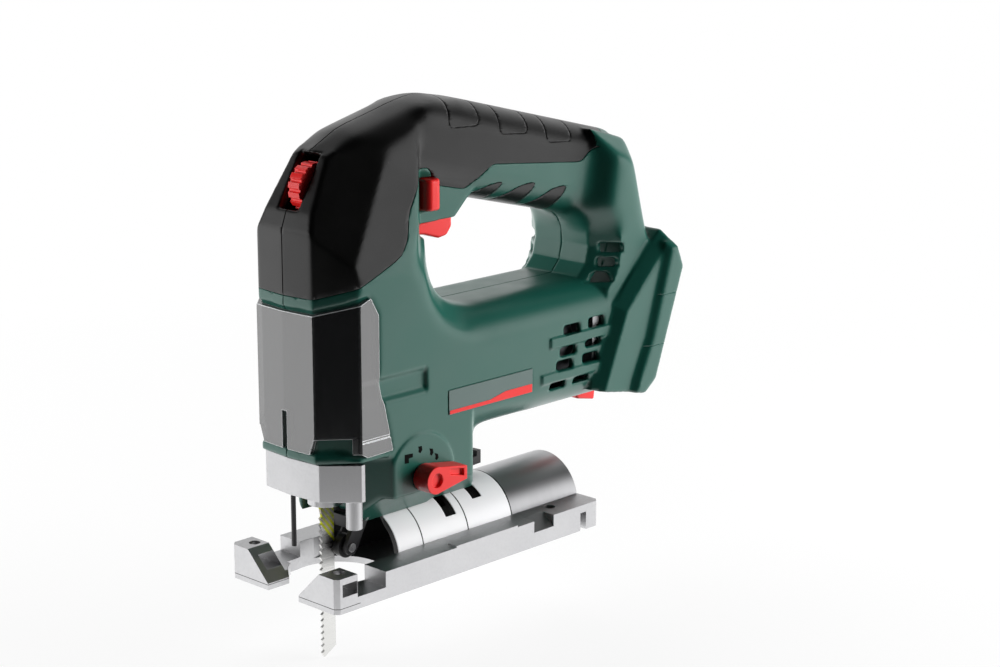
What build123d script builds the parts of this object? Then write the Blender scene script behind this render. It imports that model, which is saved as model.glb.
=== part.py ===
from build123d import *
import math
import os

# Cordless D-handle jigsaw. Millimetres, +X is the cutting direction, +Y the tool's left, +Z up.
# The origin is the centre of the sole, on the plane that slides on the work.

# Driving dimensions of the base
base_length = 168.5
base_width = 70.0
base_rear_x = -84.4
rail_height = 12.6
rail_gap = 42.0
floor_thickness = 3.0
prong_length = 20.0
prong_height = 15.9
prong_gap = 20.4
prong_lip = 3.0
prong_top_width = 11.5
corner_chamfer = 2.0
blade_window_x = 52.8
blade_window_radius = 21.6
fence_slot_x = 76.4
fence_slot_width = 8.6
fence_slot_low = 7.4
fence_slot_high = 13.0
fence_screw_radius = 2.6
fence_screw_y = 28.0
rear_screw_x = -60.0
rear_screw_y = 25.5
rear_screw_depth = 9.0
post_recess_x = (55.5, 72.0)
post_recess_floor = 5.5
side_notch_x = (-52.4, -39.0)
side_notch_depth = 7.0
side_notch_floor = 7.0
rear_slot_x = (-75.2, -71.2)
rear_slot_height = 8.8
side_boss_x = (-28.0, 12.0)
side_boss_width = 5.5
side_boss_rise = 0.8

# Driving dimensions of the bevel arch and its clamp
bevel_axis_z = 8.6
arch_radius = 21.0
arch_wall = 3.0
arch_front_x = 34.0
arch_clearance = 0.1
bevel_slot_half_angle = 56.0
index_slot_x = -21.8
index_slot_width = 6.0
index_slot_half_angle = 44.0
bevel_bolt_x = -2.0
bevel_bolt_radius = 3.0
bevel_bolt_play = 0.3
bevel_bolt_top_z = 52.0
bevel_nut_length = 16.0
bevel_nut_width = 16.0
bevel_nut_wall = 2.8
lever_length = 36.0
lever_width = 7.0
lever_thickness = 4.0
lever_rest_angle = 6.0
lever_hub_radius = 6.5
lever_hub_low = 31.8
lever_hub_high = 39.0
lever_pocket_half = 13.5
lever_tip = 3.0
lever_tip_height = 6.5

# Driving dimensions of the housing
head_front_x = 80.5
head_rear_x = 14.0
head_low_z = 40.0
head_trim_z = 62.0
head_half_width = 30.3
head_ridge_half = 17.5
head_front_drop = 1.1
head_flank_front_x = 64.2
head_lean = 9.9
head_lean_z = 141.0
head_side_slopes = [3.6, 3.6, 4.0, 8.0, 10.5]
head_rear_chamfer_x = 16.9
neck_bevel_slope = 45.0
shell_wall = 3.0
nose_wall = 4.5
skin = 2.4
motor_axis_z = 89.0
motor_height = 58.0
motor_corner = 17.0
motor_front_x = 30.0
motor_rear_x = -100.0
handle_width = 37.0
handle_height = 43.0
handle_corner = 15.0
handle_slope = 13.7
handle_mid_x = -60.0
handle_mid_z = 176.8
handle_front_x = 17.0
crest_slope = 8.0
handle_rear_x = -112.0
handle_wall = 4.0
column_half_width = 29.0
column_ridge_half = 17.0
shoe_step_half = 35.7
shoe_half_width = 39.0
foot_bottom_z = 42.0
foot_front_x = 46.3
foot_rear_x = -23.5
foot_cheek_x = 60.0
foot_cheek_gap = 28.0
foot_v_play = 0.5
foot_arch_play = 0.4
seam_play = 0.3

# Driving dimensions of the drive
shaft_radius = 4.0
bearing_radius = 9.5
frame_x = (20.0, 25.5)
frame_top_z = 150.0
saddle_x = (8.0, 30.0)
saddle_half_width = 9.0
gear_module = 1.0
pinion_teeth = 12
gear_teeth = 42
tooth_backlash = 0.35
tooth_addendum = 0.85
tooth_dedendum = 1.2
gear_x = (26.5, 35.5)
gear_axle_radius = 5.0
running_play = 0.05
stroke = 26.0
crank_pin_radius = 4.0
crank_pin_gap = 0.3
plunger_x = 58.5
plunger_radius = 5.0
plunger_low_z = 53.0
plunger_high_z = 153.0
yoke_depth = 5.0
yoke_height = 14.0
yoke_half_width = 18.5
guide_low_z = (68.0, 80.0)
guide_high_z = (138.0, 148.0)
guide_top_z = 155.0
guide_pivot_z = 150.0
guide_half_width = 21.5
guide_rail = 2.5
guide_depth = 9.0
guide_boss_radius = 8.0
guide_pin_radius = 3.0
guide_pin_reach = 25.0
stator_length = 45.0
stator_front_x = -30.0
stator_bore = 13.5
rotor_air_gap = 0.8
fan_radius = 23.0
fan_x = (-25.0, -15.0)
bracket_x = (-93.0, -87.0)
saddle_top_z = 67.0
pinion_front_x = 37.0
gear_axle_end = 1.0
gear_axle_inset = 1.5
gear_room = 1.5
root_relief = 0.6
yoke_front = 2.0
fan_disc = 1.5
fan_hub = 8.0
fan_blades = 11
fan_blade = 1.2
plunger_mouth_x = 72.0

# Driving dimensions of the blade end
blade_width = 8.0
blade_thickness = 1.3
blade_tip_z = -35.0
blade_top_z = 51.0
tooth_pitch = 3.0
tooth_depth = 1.2
clamp_radius = 8.0
clamp_z = (37.0, 54.0)
sleeve_radius = 10.2
sleeve_z = (43.0, 51.5)
roller_x = 51.0
roller_z = 16.0
roller_radius = 5.3
roller_groove = 1.9
roller_half_width = 5.5
roller_axle_radius = 2.0
fork_half_gap = 5.9
fork_arm = 2.4
fork_arm_width = 7.0
fork_pivot_x = 40.0
fork_pivot_z = 36.0
fork_pivot_radius = 2.5
fork_hub_radius = 4.5
fork_pin_reach = 11.0
fork_bridge_x = (46.8, 49.6)
fork_bridge_z = (23.5, 29.0)
roller_axle_end = 0.6
roller_flare = 1.6
sleeve_ribs = 12
sleeve_rib = 0.7
blade_teeth_top = 33.0

# Driving dimensions of the controls
trigger_half_width = 8.0
trigger_travel = 6.0
trigger_play = 0.4
button_x = (5.5, 14.5)
button_z = (163.5, 177.5)
button_reach = 20.6
button_play = 0.3
dial_radius = 11.0
dial_width = 7.0
dial_low_y = -1.4
dial_proud = 3.5
dial_spindle_radius = 2.0
dial_spindle_reach = 11.0
dial_slot_half = 6.2
dial_slot_length = 26.0
selector_x = 29.0
selector_z = 49.0
selector_shaft_radius = 4.0
selector_shaft_depth = 20.0
selector_radius = 6.2
selector_tip_x = 10.5
selector_proud = 9.0
rosette_radius = 19.5
rosette_rise = 0.8
slider_x = (-113.0, -97.0)
slider_half_width = 7.0
slider_low_z = 51.5
trigger_x = (-13.0, 13.0)
trigger_low_z = 147.5
trigger_top_z = 168.0
guard_half_width = 15.0
button_chamfer = 2.0
dial_slot_depth = 12.0
dial_ribs = 16
dial_rib = 0.9
selector_tip_half = 3.1
slider_top_z = 59.7
slider_stem_x = (-108.0, -101.0)
slider_stem_half = 2.7
slider_stem_z = 63.5
slider_seat_half = 11.0
slider_seat_top = 72.0
slider_travel = 4.0
switch_x = (-19.0, 3.0)
switch_height = 22.0
switch_corner = 8.0
board_x = (-84.0, -36.0)
board_thickness = 2.0

# Driving dimensions of the front guard and the chip shield
bow_z = (45.0, 61.7)
bow_front_x = 77.4
bow_ridge = 1.4
bow_wall = 3.2
bow_tail_x = 60.8
bow_end_x = 62.4
post_x = 64.3
post_y = 25.0
post_radius = 3.6
post_low_z = 32.2
hinge_pin_radius = 1.6
wire_radius = 1.1
wire_low_z = 21.5
shield_wall = 2.1
shield_proud = 0.8
clip_depth = 1.0
wing_line_z = (71.2, 72.4)
wing_line_depth = 0.5
shield_gap = 0.3
shield_travel = 5.0
shield_low_z = 66.5
shield_high_z = 127.5
shield_rear_x = 54.0
shield_notch_half = 1.4
shield_notch_height = 17.0
shield_corner_low_y = 14.5
shield_corner_high_y = 17.5
shield_corner_z = 73.5
hinge_pin_low_z = 50.0
hinge_pin_top_z = 66.0
wire_x = 77.2
wire_seat = 4.0
track_x = (25.0, 54.5)
track_z = (86.5, 98.5)
track_depth = 1.8
track_slope = 2.6

# Driving dimensions of the battery interface
rear_lean = 20.0
bay_half_width = 31.0
bay_depth = 11.0
bay_rail = 5.0
bay_lip = 4.0
bay_length = 52.0
bay_run_out = 40.0
terminal_length = 26.0
terminal_height = 8.0
terminal_half_width = 15.0
contact_thickness = 0.8
contact_length = 9.0
contact_pitch = 6.0
contact_count = 5

# Fasteners and small pieces
screw_radius = 1.7
screw_head_radius = 3.5
screw_head_depth = 3.0
screw_boss_radius = 4.6
screw_play = 0.1
screw_reach = 12.0
plate_x = (-42.0, 12.0)
plate_z = (73.4, 84.5)
plate_thickness = 1.0
plate_recess = 0.7
vent_inner_y = 20.0
column_slot_length = 14.0
column_slot_height = 4.4
louvre_rise = 1.0

# Sizes worked out from the driving dimensions
base_front_x = base_rear_x + base_length
base_half = base_width / 2
rail_half_gap = rail_gap / 2
prong_half_gap = prong_gap / 2
prong_rear_x = base_front_x - prong_length
gear_pitch_radius = gear_module * gear_teeth / 2
pinion_pitch_radius = gear_module * pinion_teeth / 2
gear_axis_z = motor_axis_z + gear_pitch_radius + pinion_pitch_radius
crank_radius = stroke / 2
yoke_rear_x = plunger_x - plunger_radius - yoke_depth
trigger_shoulder_z = button_z[0] - trigger_travel - 1.0
trigger_pocket_z = trigger_top_z + trigger_travel + 2.0
stator_radius = motor_height / 2 - shell_wall - seam_play
lean = math.radians(rear_lean)
shield_corner_x = head_flank_front_x - 2.0
shield_corner_end = head_half_width - 2.0
far = 300.0

# Side-view outlines, as x and z
head_outline = [
    (head_front_x, head_low_z),
    (head_front_x, 162.5),
    (77.5, 170.6),
    (64.0, 194.0),
    (48.7, 202.6),
    (head_rear_x, 211.6),
    (head_rear_x, head_low_z),
]
handle_crest = [(14.6, 211.4), (1.6, 213.3), (-9.0, 211.3)]
# Three points on each of the head's upper bevels, as x, y and z
nose_bevel = [(79.4, 17.5, 161.0), (65.0, 10.5, 192.0), (49.2, 24.4, 175.0)]
roof_bevel = [(30.0, 12.0, 205.5), (-4.7, 12.0, 214.5), (30.0, 20.3, 198.0)]
neck_outline = [
    (60.0, 152.0),
    (head_rear_x, 152.0),
    (13.0, 141.0),
    (10.0, 132.0),
    (4.5, 125.0),
    (-3.5, 120.3),
    (-17.0, 116.6),
    (-17.0, 72.0),
    (60.0, 72.0),
]
trigger_guard = [(22.0, 176.0), (22.0, 157.5), (-8.0, 157.5), (-15.0, 164.0), (-22.0, 170.0), (-22.0, 178.0)]
column_outline = [
    (-84.0, 100.0),
    (-86.5, 117.0),
    (-93.0, 124.0),
    (-95.0, 132.0),
    (-94.0, 141.0),
    (-88.0, 150.0),
    (-95.0, 188.5),
    (-120.0, 181.5),
    (-124.0, 172.6),
    (-160.0, 40.0),
    (-84.0, 40.0),
]
rear_limit = [
    (-60.0, 220.0),
    (-120.5, 182.0),
    (-124.0, 172.6),
    (-132.6, 137.5),
    (-140.6, 119.1),
    (-121.3, 66.0),
    (-113.4, 60.2),
    (-75.0, 67.6),
    (-60.0, 70.5),
]
shoe_step = [(-83.2, 69.9), (-97.9, 104.8), (-131.0, 137.5), (-190.0, 137.5), (-190.0, 20.0), (-70.0, 20.0)]
shoe_plate = [(-106.5, 69.1), (-115.9, 88.6), (-129.3, 132.0), (-190.0, 136.5), (-190.0, 20.0), (-90.0, 20.0)]
black_region = [
    (95.0, 130.5),
    (head_front_x, 134.0),
    (65.0, 138.5),
    (38.5, 148.5),
    (33.5, 155.0),
    (31.0, 166.0),
    (20.0, 181.5),
    (11.7, 183.0),
    (4.0, 173.5),
    (-14.0, 169.5),
    (-27.6, 179.6),
    (-88.0, 173.6),
    (-93.7, 178.8),
    (-112.0, 185.5),
    (-118.0, 240.0),
    (95.0, 240.0),
]
finger_flames = [
    [(-13.0, 150.0), (-17.0, 164.5), (-27.0, 169.5), (-36.5, 171.0), (-31.5, 162.0), (-36.0, 150.0)],
    [(-33.0, 150.0), (-36.5, 161.5), (-47.5, 167.5), (-57.5, 168.0), (-52.5, 158.0), (-58.0, 150.0)],
    [(-55.0, 150.0), (-58.0, 156.5), (-68.5, 163.5), (-78.5, 164.0), (-73.5, 153.0), (-78.0, 145.0)],
]
shield_region = [
    (95.0, shield_low_z),
    (95.0, shield_high_z),
    (head_front_x, shield_high_z),
    (65.0, 131.5),
    (58.5, 134.0),
    (shield_rear_x, 126.0),
    (shield_rear_x, 98.0),
    (46.5, 64.8),
    (61.5, 64.5),
    (64.8, shield_low_z),
]
screw_places = [
    # x, z and the depth of the head's seat from the middle
    (69.6, 152.0, 20.0),
    (36.0, 187.0, 16.5),
    (-29.0, 187.5, 13.0),
    (-113.0, 166.0, 24.0),
    (-106.0, 100.0, 25.0),
    (40.0, 71.5, 25.0),
    (-81.5, 67.5, 21.0),
]
vent_windows = [
    (-69.5, 98.2, 11.0, 5.0),
    (-86.6, 99.0, 11.0, 5.0),
    (-67.0, 88.4, 11.0, 4.6),
    (-84.6, 89.8, 11.0, 4.6),
    (-64.6, 82.0, 11.0, 4.6),
    (-82.6, 82.4, 11.0, 4.6),
    (-60.2, 72.9, 11.0, 3.6),
    (-76.6, 73.0, 11.0, 3.6),
]
louvre_bars = [(-76.9, 93.8, 45.0, 4.4), (-71.0, 77.5, 45.0, 4.0)]
column_slots = [(-100.0, 131.6), (-96.8, 124.8), (-93.2, 118.0)]


def inset_outline(points, distance):
    """Move every edge of a closed outline inwards by one distance."""
    count = len(points)
    area = sum(
        points[i][0] * points[(i + 1) % count][1] - points[(i + 1) % count][0] * points[i][1]
        for i in range(count)
    )
    turn = math.copysign(1.0, area)
    lines = []
    for i in range(count):
        ax, ay = points[i]
        bx, by = points[(i + 1) % count]
        length = math.hypot(bx - ax, by - ay)
        normal = (-turn * (by - ay) / length, turn * (bx - ax) / length)
        lines.append((normal[0], normal[1], normal[0] * ax + normal[1] * ay + distance))
    corners = []
    for i in range(count):
        a1, b1, c1 = lines[i - 1]
        a2, b2, c2 = lines[i]
        cross = a1 * b2 - a2 * b1
        corners.append(((c1 * b2 - c2 * b1) / cross, (a1 * c2 - a2 * c1) / cross))
    return corners


def side_slab(outline, low_y, high_y):
    """A slab with a side-view outline between two values of y."""
    with BuildPart() as slab:
        with BuildSketch(Plane.XZ.offset(-high_y)):
            Polygon(*outline, align=None)
        extrude(amount=high_y - low_y)
    return slab.part


def plan_slab(outline, low_z, high_z):
    """A slab with a plan outline between two heights."""
    with BuildPart() as slab:
        with BuildSketch(Plane.XY.offset(low_z)):
            Polygon(*outline, align=None)
        extrude(amount=high_z - low_z)
    return slab.part


def box_between(low, high):
    """A plain block between two corners."""
    centre = [(a + b) / 2 for a, b in zip(low, high)]
    size = [b - a for a, b in zip(low, high)]
    with BuildPart() as block:
        with Locations(tuple(centre)):
            Box(*size)
    return block.part


def rod_along(axis, centre, radius, low, high):
    """A round bar along x, y or z between two values of that axis; centre gives the other two."""
    planes = {
        "x": Plane(origin=(low, centre[0], centre[1]), x_dir=(0, 1, 0), z_dir=(1, 0, 0)),
        "y": Plane(origin=(centre[0], low, centre[1]), x_dir=(0, 0, 1), z_dir=(0, 1, 0)),
        "z": Plane(origin=(centre[0], centre[1], low), x_dir=(1, 0, 0), z_dir=(0, 0, 1)),
    }
    with BuildPart() as rod:
        with BuildSketch(planes[axis]):
            Circle(radius)
        extrude(amount=high - low)
    return rod.part


def mirrored_pair(piece):
    """The piece together with its mirror image in the middle plane."""
    with BuildPart() as pair:
        add(piece)
        add(mirror(piece, about=Plane.XZ, mode=Mode.PRIVATE))
    return pair.part


def edge_normal(start, end, slope):
    """Outward normal of a face on an edge of the middle outline that slopes off to the side."""
    length = math.hypot(end[0] - start[0], end[1] - start[1])
    tilt = math.radians(slope)
    across = math.cos(tilt) / length
    return ((end[1] - start[1]) * across, math.sin(tilt), (start[0] - end[0]) * across)


def face_normal(corners):
    """Outward normal of the face through three points on the tool's left."""
    origin, first, second = [Vector(*corner) for corner in corners]
    normal = (first - origin).cross(second - origin).normalized()
    if normal.Y < 0:
        normal = -normal
    return (normal.X, normal.Y, normal.Z)


def side_plane(face, side, inset):
    """The plane of a face on one side of the tool, moved inwards."""
    (x, y, z), (nx, ny, nz) = face
    return Plane(origin=(x, side * y, z), z_dir=(nx, side * ny, nz)).offset(-inset)


head_faces = []
for start, end, slope in zip(head_outline, head_outline[1:], head_side_slopes):
    head_faces.append(((start[0], 0.0, start[1]), edge_normal(start, end, slope)))
head_edge_x = head_front_x - head_front_drop
lean_angle = math.radians(head_lean)
nose_run = math.hypot(head_edge_x - head_flank_front_x, head_half_width - head_ridge_half)
head_faces += [
    ((0.0, head_half_width, 0.0), (0.0, 1.0, 0.0)),
    ((0.0, head_half_width, head_lean_z), (0.0, math.cos(lean_angle), math.sin(lean_angle))),
    (
        (head_edge_x, head_ridge_half, 0.0),
        ((head_half_width - head_ridge_half) / nose_run, (head_edge_x - head_flank_front_x) / nose_run, 0.0),
    ),
    ((head_rear_chamfer_x, head_ridge_half, 0.0), (-math.sqrt(0.5), math.sqrt(0.5), 0.0)),
    (nose_bevel[0], face_normal(nose_bevel)),
    (roof_bevel[0], face_normal(roof_bevel)),
]
crest_faces = [
    ((start[0], 0.0, start[1]), edge_normal(start, end, crest_slope))
    for start, end in zip(handle_crest, handle_crest[1:])
]


# Housing forms. Each takes the distance by which its walls lie inside the outer surface.
def head_form(inset):
    with BuildPart() as form:
        low = (head_rear_x + inset, -head_half_width - far / 10, head_trim_z + inset)
        high = (head_front_x + far / 10, head_half_width + far / 10, far)
        add(box_between(low, high))
        for face in head_faces:
            for side in (1, -1):
                split(bisect_by=side_plane(face, side, inset), keep=Keep.BOTTOM)
    return form.part


def motor_form(inset):
    with BuildPart() as form:
        with BuildSketch(Plane.YZ.offset(motor_rear_x + inset)):
            with Locations((0, motor_axis_z)):
                RectangleRounded(
                    2 * (head_half_width - inset),
                    motor_height - 2 * inset,
                    motor_corner - inset,
                )
        extrude(amount=motor_front_x - motor_rear_x - inset)
    return form.part


def neck_form(inset):
    """The sweep from the back of the head down into the motor barrel."""
    outline = inset_outline(neck_outline, inset)
    with BuildPart() as form:
        with BuildSketch(Plane.XZ):
            Polygon(*outline, align=None)
        extrude(amount=head_ridge_half)
        flank_y = head_half_width - inset
        draw_in = (flank_y - head_ridge_half) * math.tan(math.radians(neck_bevel_slope))
        with BuildSketch(Plane.XZ.offset(head_ridge_half)):
            Polygon(*outline, align=None)
        with BuildSketch(Plane.XZ.offset(flank_y)):
            Polygon(*inset_outline(outline, draw_in), align=None)
        loft(ruled=True)
        mirror(about=Plane.XZ)
    return form.part


def handle_plane(x):
    """The plane square to the handle where its middle line passes x."""
    slope = math.radians(handle_slope)
    z = handle_mid_z + (x - handle_mid_x) * math.tan(slope)
    return Plane(origin=(x, 0, z), x_dir=(0, 1, 0), z_dir=(-math.cos(slope), 0, -math.sin(slope)))


def handle_form(inset):
    length = (handle_front_x - handle_rear_x) / math.cos(math.radians(handle_slope))
    with BuildPart() as form:
        with BuildSketch(handle_plane(handle_front_x)):
            RectangleRounded(handle_width - 2 * inset, handle_height - 2 * inset, handle_corner - inset)
        extrude(amount=length)
        for face in crest_faces:
            for side in (1, -1):
                split(bisect_by=side_plane(face, side, inset), keep=Keep.BOTTOM)
    return form.part


def column_form(inset):
    outline = inset_outline(column_outline, inset)
    with BuildPart() as form:
        with BuildSketch(Plane.XZ):
            Polygon(*outline, align=None)
        extrude(amount=column_ridge_half)
        with BuildSketch(Plane.XZ.offset(column_ridge_half)):
            Polygon(*outline, align=None)
        extrude(amount=column_half_width - inset - column_ridge_half, taper=40.0)
        mirror(about=Plane.XZ)
        limit = inset_outline(rear_limit, inset)
        add(side_slab(limit, -far / 2, far / 2), mode=Mode.INTERSECT)
    return form.part


def shoe_form():
    layers = [
        (shoe_step, 0.0, head_half_width, 0.0),
        (shoe_step, head_half_width, shoe_step_half, 45.0),
        (shoe_plate, 0.0, shoe_step_half, 0.0),
        (shoe_plate, shoe_step_half, shoe_half_width, 45.0),
    ]
    with BuildPart() as form:
        for outline, low, high, taper in layers:
            with BuildSketch(Plane.XZ.offset(low)):
                Polygon(*outline, align=None)
            extrude(amount=high - low, taper=taper)
        mirror(about=Plane.XZ)
        add(side_slab(rear_limit, -far / 2, far / 2), mode=Mode.INTERSECT)
    return form.part


def foot_form():
    rear_bevel = head_half_width - 10.0
    cheek_gap = foot_cheek_gap / 2
    cheek_y = head_half_width - (foot_cheek_x - foot_front_x)
    half_plan = [
        (foot_cheek_x, cheek_gap),
        (foot_cheek_x, cheek_y),
        (foot_front_x, head_half_width),
        (foot_rear_x + rear_bevel, head_half_width),
        (foot_rear_x, 10.0),
    ]
    plan = half_plan + [(x, -y) for x, y in reversed(half_plan)]
    plan += [(foot_front_x, -cheek_gap), (foot_front_x, cheek_gap)]
    v_half = arch_radius * math.cos(math.radians(57.0))
    # The V clears the side boss of the base when the base is bevelled by 45 degrees
    boss_reach = (rail_height + side_boss_rise - bevel_axis_z) * math.sqrt(2)
    v_low = v_half + bevel_axis_z + boss_reach + foot_v_play
    half_section = [
        (head_half_width, motor_axis_z),
        (head_half_width, foot_bottom_z),
        (v_half + foot_bottom_z - v_low, foot_bottom_z),
        (v_half, v_low),
    ]
    section = half_section + [(-y, z) for y, z in reversed(half_section)]
    with BuildPart() as form:
        with BuildSketch(Plane.YZ.offset(foot_rear_x)):
            Polygon(*section, align=None)
        extrude(amount=foot_cheek_x - foot_rear_x)
        add(plan_slab(plan, 0.0, motor_axis_z), mode=Mode.INTERSECT)
        arch_room = arch_radius + foot_arch_play
        add(rod_along("x", (0, bevel_axis_z), arch_room, -far, far), mode=Mode.SUBTRACT)
    return form.part


def screw_bars(radius, low_y, high_y):
    """One bar along y at each housing screw."""
    return [rod_along("y", (x, z), radius, low_y, high_y) for x, z, seat in screw_places]


# Slanted frame of the battery interface: local y runs down the rear face, local z out of it.
rear_face = Plane(
    origin=(rear_limit[5][0], 0, rear_limit[5][1]),
    x_dir=(0, 1, 0),
    z_dir=(-math.cos(lean), 0, -math.sin(lean)),
)

head_outer = head_form(0.0)
motor_cavity = motor_form(shell_wall)
handle_outer = handle_form(0.0)
handle_core = handle_form(skin)
head_cavity = head_form(nose_wall)

with BuildPart() as outer:
    # The whole outer body as one form
    add(head_outer)
    add(motor_form(0.0))
    add(neck_form(0.0))
    add(handle_outer)
    add(column_form(0.0))
    add(shoe_form())
    add(foot_form())
    add(side_slab(trigger_guard, -guard_half_width, guard_half_width))
    # Flat seat of the blower slide below the rear
    seat_low = (slider_x[0], -slider_seat_half, slider_top_z + seam_play)
    seat_high = (slider_x[1] + slider_travel, slider_seat_half, slider_seat_top)
    add(box_between(seat_low, seat_high))

with BuildPart() as column_room:
    add(column_form(shell_wall))
    split(bisect_by=rear_face.offset(-bay_depth - shell_wall), keep=Keep.BOTTOM)

with BuildPart() as bay:
    # A wide slot behind two lips, open at its lower end
    with BuildSketch(rear_face.offset(-bay_depth)):
        with Locations((0, (bay_run_out - bay_length) / 2)):
            Rectangle(2 * bay_half_width, bay_length + bay_run_out)
    extrude(amount=bay_depth - bay_lip)
    with BuildSketch(rear_face.offset(-bay_lip)):
        with Locations((0, (bay_run_out - bay_length) / 2)):
            Rectangle(2 * (bay_half_width - bay_rail), bay_length + bay_run_out)
    extrude(amount=2 * bay_lip)

# Chip shield: the skin of the nose between the band and the guard
with BuildPart() as chip_shield:
    add(head_form(-shield_proud))
    add(head_form(shield_wall - shield_proud), mode=Mode.SUBTRACT)
    add(side_slab(shield_region, -far / 2, far / 2), mode=Mode.INTERSECT)
    notch_top = shield_low_z + shield_notch_height
    add(
        box_between((plunger_x, -shield_notch_half, 0), (far, shield_notch_half, notch_top)),
        mode=Mode.SUBTRACT,
    )

    # The lower corners are cut away on the bevels, so that the front face ends in a tongue
    corner = [
        (shield_corner_low_y, shield_low_z - 1.0),
        (shield_corner_high_y, shield_corner_z),
        (shield_corner_end, shield_corner_z),
        (shield_corner_end, shield_low_z - 1.0),
    ]
    with BuildSketch(Plane.YZ.offset(shield_corner_x)):
        Polygon(*corner, align=None)
        mirror(about=Plane.YZ)
    extrude(amount=far, mode=Mode.SUBTRACT)

    # Each wing has a sunk step in line with the housing's track, and a thin line below it
    wing_y = head_half_width + shield_proud
    step_section = [
        (wing_y + clip_depth, track_z[0] - track_slope),
        (wing_y - clip_depth, track_z[0] + track_slope),
        (wing_y - clip_depth, track_z[1] - track_slope),
        (wing_y + clip_depth, track_z[1] + track_slope),
    ]
    with BuildPart(mode=Mode.PRIVATE) as step:
        with BuildSketch(Plane.YZ.offset(track_x[0])):
            Polygon(*step_section, align=None)
        extrude(amount=head_flank_front_x - track_x[0])
        line_low = (track_x[0], wing_y - wing_line_depth, wing_line_z[0])
        add(box_between(line_low, (head_flank_front_x, wing_y + clip_depth, wing_line_z[1])))
    add(mirrored_pair(step.part), mode=Mode.SUBTRACT)

with BuildPart() as shield_room:
    add(head_form(-shield_proud - shield_gap))
    add(head_form(shield_wall - shield_proud + shield_gap), mode=Mode.SUBTRACT)
    # The top and bottom edges of the room run on forwards, so that the shield can slide off its clips
    swept = shield_region[:2] + [(x + shield_travel, z) for x, z in shield_region[2:5]] + shield_region[4:-2]
    swept += [(x + shield_travel, z) for x, z in shield_region[-2:]]
    add(side_slab(inset_outline(swept, -shield_gap), -far / 2, far / 2), mode=Mode.INTERSECT)

# Soft skins: the black top of head and handle, and the finger grips below it
with BuildPart() as dial_slot:
    slope_x = (head_outline[2][0] + head_outline[3][0]) / 2
    slope_z = (head_outline[2][1] + head_outline[3][1]) / 2
    slope = math.atan2(head_outline[3][1] - head_outline[2][1], head_outline[3][0] - head_outline[2][0])
    slope_normal = (math.sin(slope), 0, -math.cos(slope))
    dial_plane = Plane(origin=(slope_x, 0, slope_z), x_dir=(0, 1, 0), z_dir=slope_normal)
    with BuildSketch(dial_plane.offset(-dial_slot_depth)):
        Rectangle(2 * dial_slot_half, dial_slot_length)
    extrude(amount=2 * dial_slot_depth)

with BuildPart() as screw_wells:
    for x, z, seat in screw_places:
        add(rod_along("y", (x, z), screw_radius + screw_play, -seat, screw_reach + screw_play))
        add(rod_along("y", (x, z), screw_head_radius + screw_play, -far / 2, -seat))

button_low = (button_x[0] - button_play, -far / 4, button_z[0] - button_play)
button_high = (button_x[1] + button_play, far / 4, button_z[1] + button_play)
button_room = box_between(button_low, button_high)

room_low = (trigger_x[0] - trigger_play, -trigger_half_width - trigger_play, trigger_low_z - 10.0)
room_high = (trigger_x[1] + trigger_play, trigger_half_width + trigger_play, trigger_pocket_z)
trigger_room = box_between(room_low, room_high)

with BuildPart() as grip:
    add(head_outer)
    add(handle_outer)
    add(head_form(skin), mode=Mode.SUBTRACT)
    add(handle_core, mode=Mode.SUBTRACT)
    add(side_slab(black_region, -far / 2, far / 2), mode=Mode.INTERSECT)

with BuildPart() as finger_grip:
    for flame in finger_flames:
        add(side_slab(flame, -far / 2, far / 2))
    add(handle_outer, mode=Mode.INTERSECT)
    add(handle_core, mode=Mode.SUBTRACT)

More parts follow.
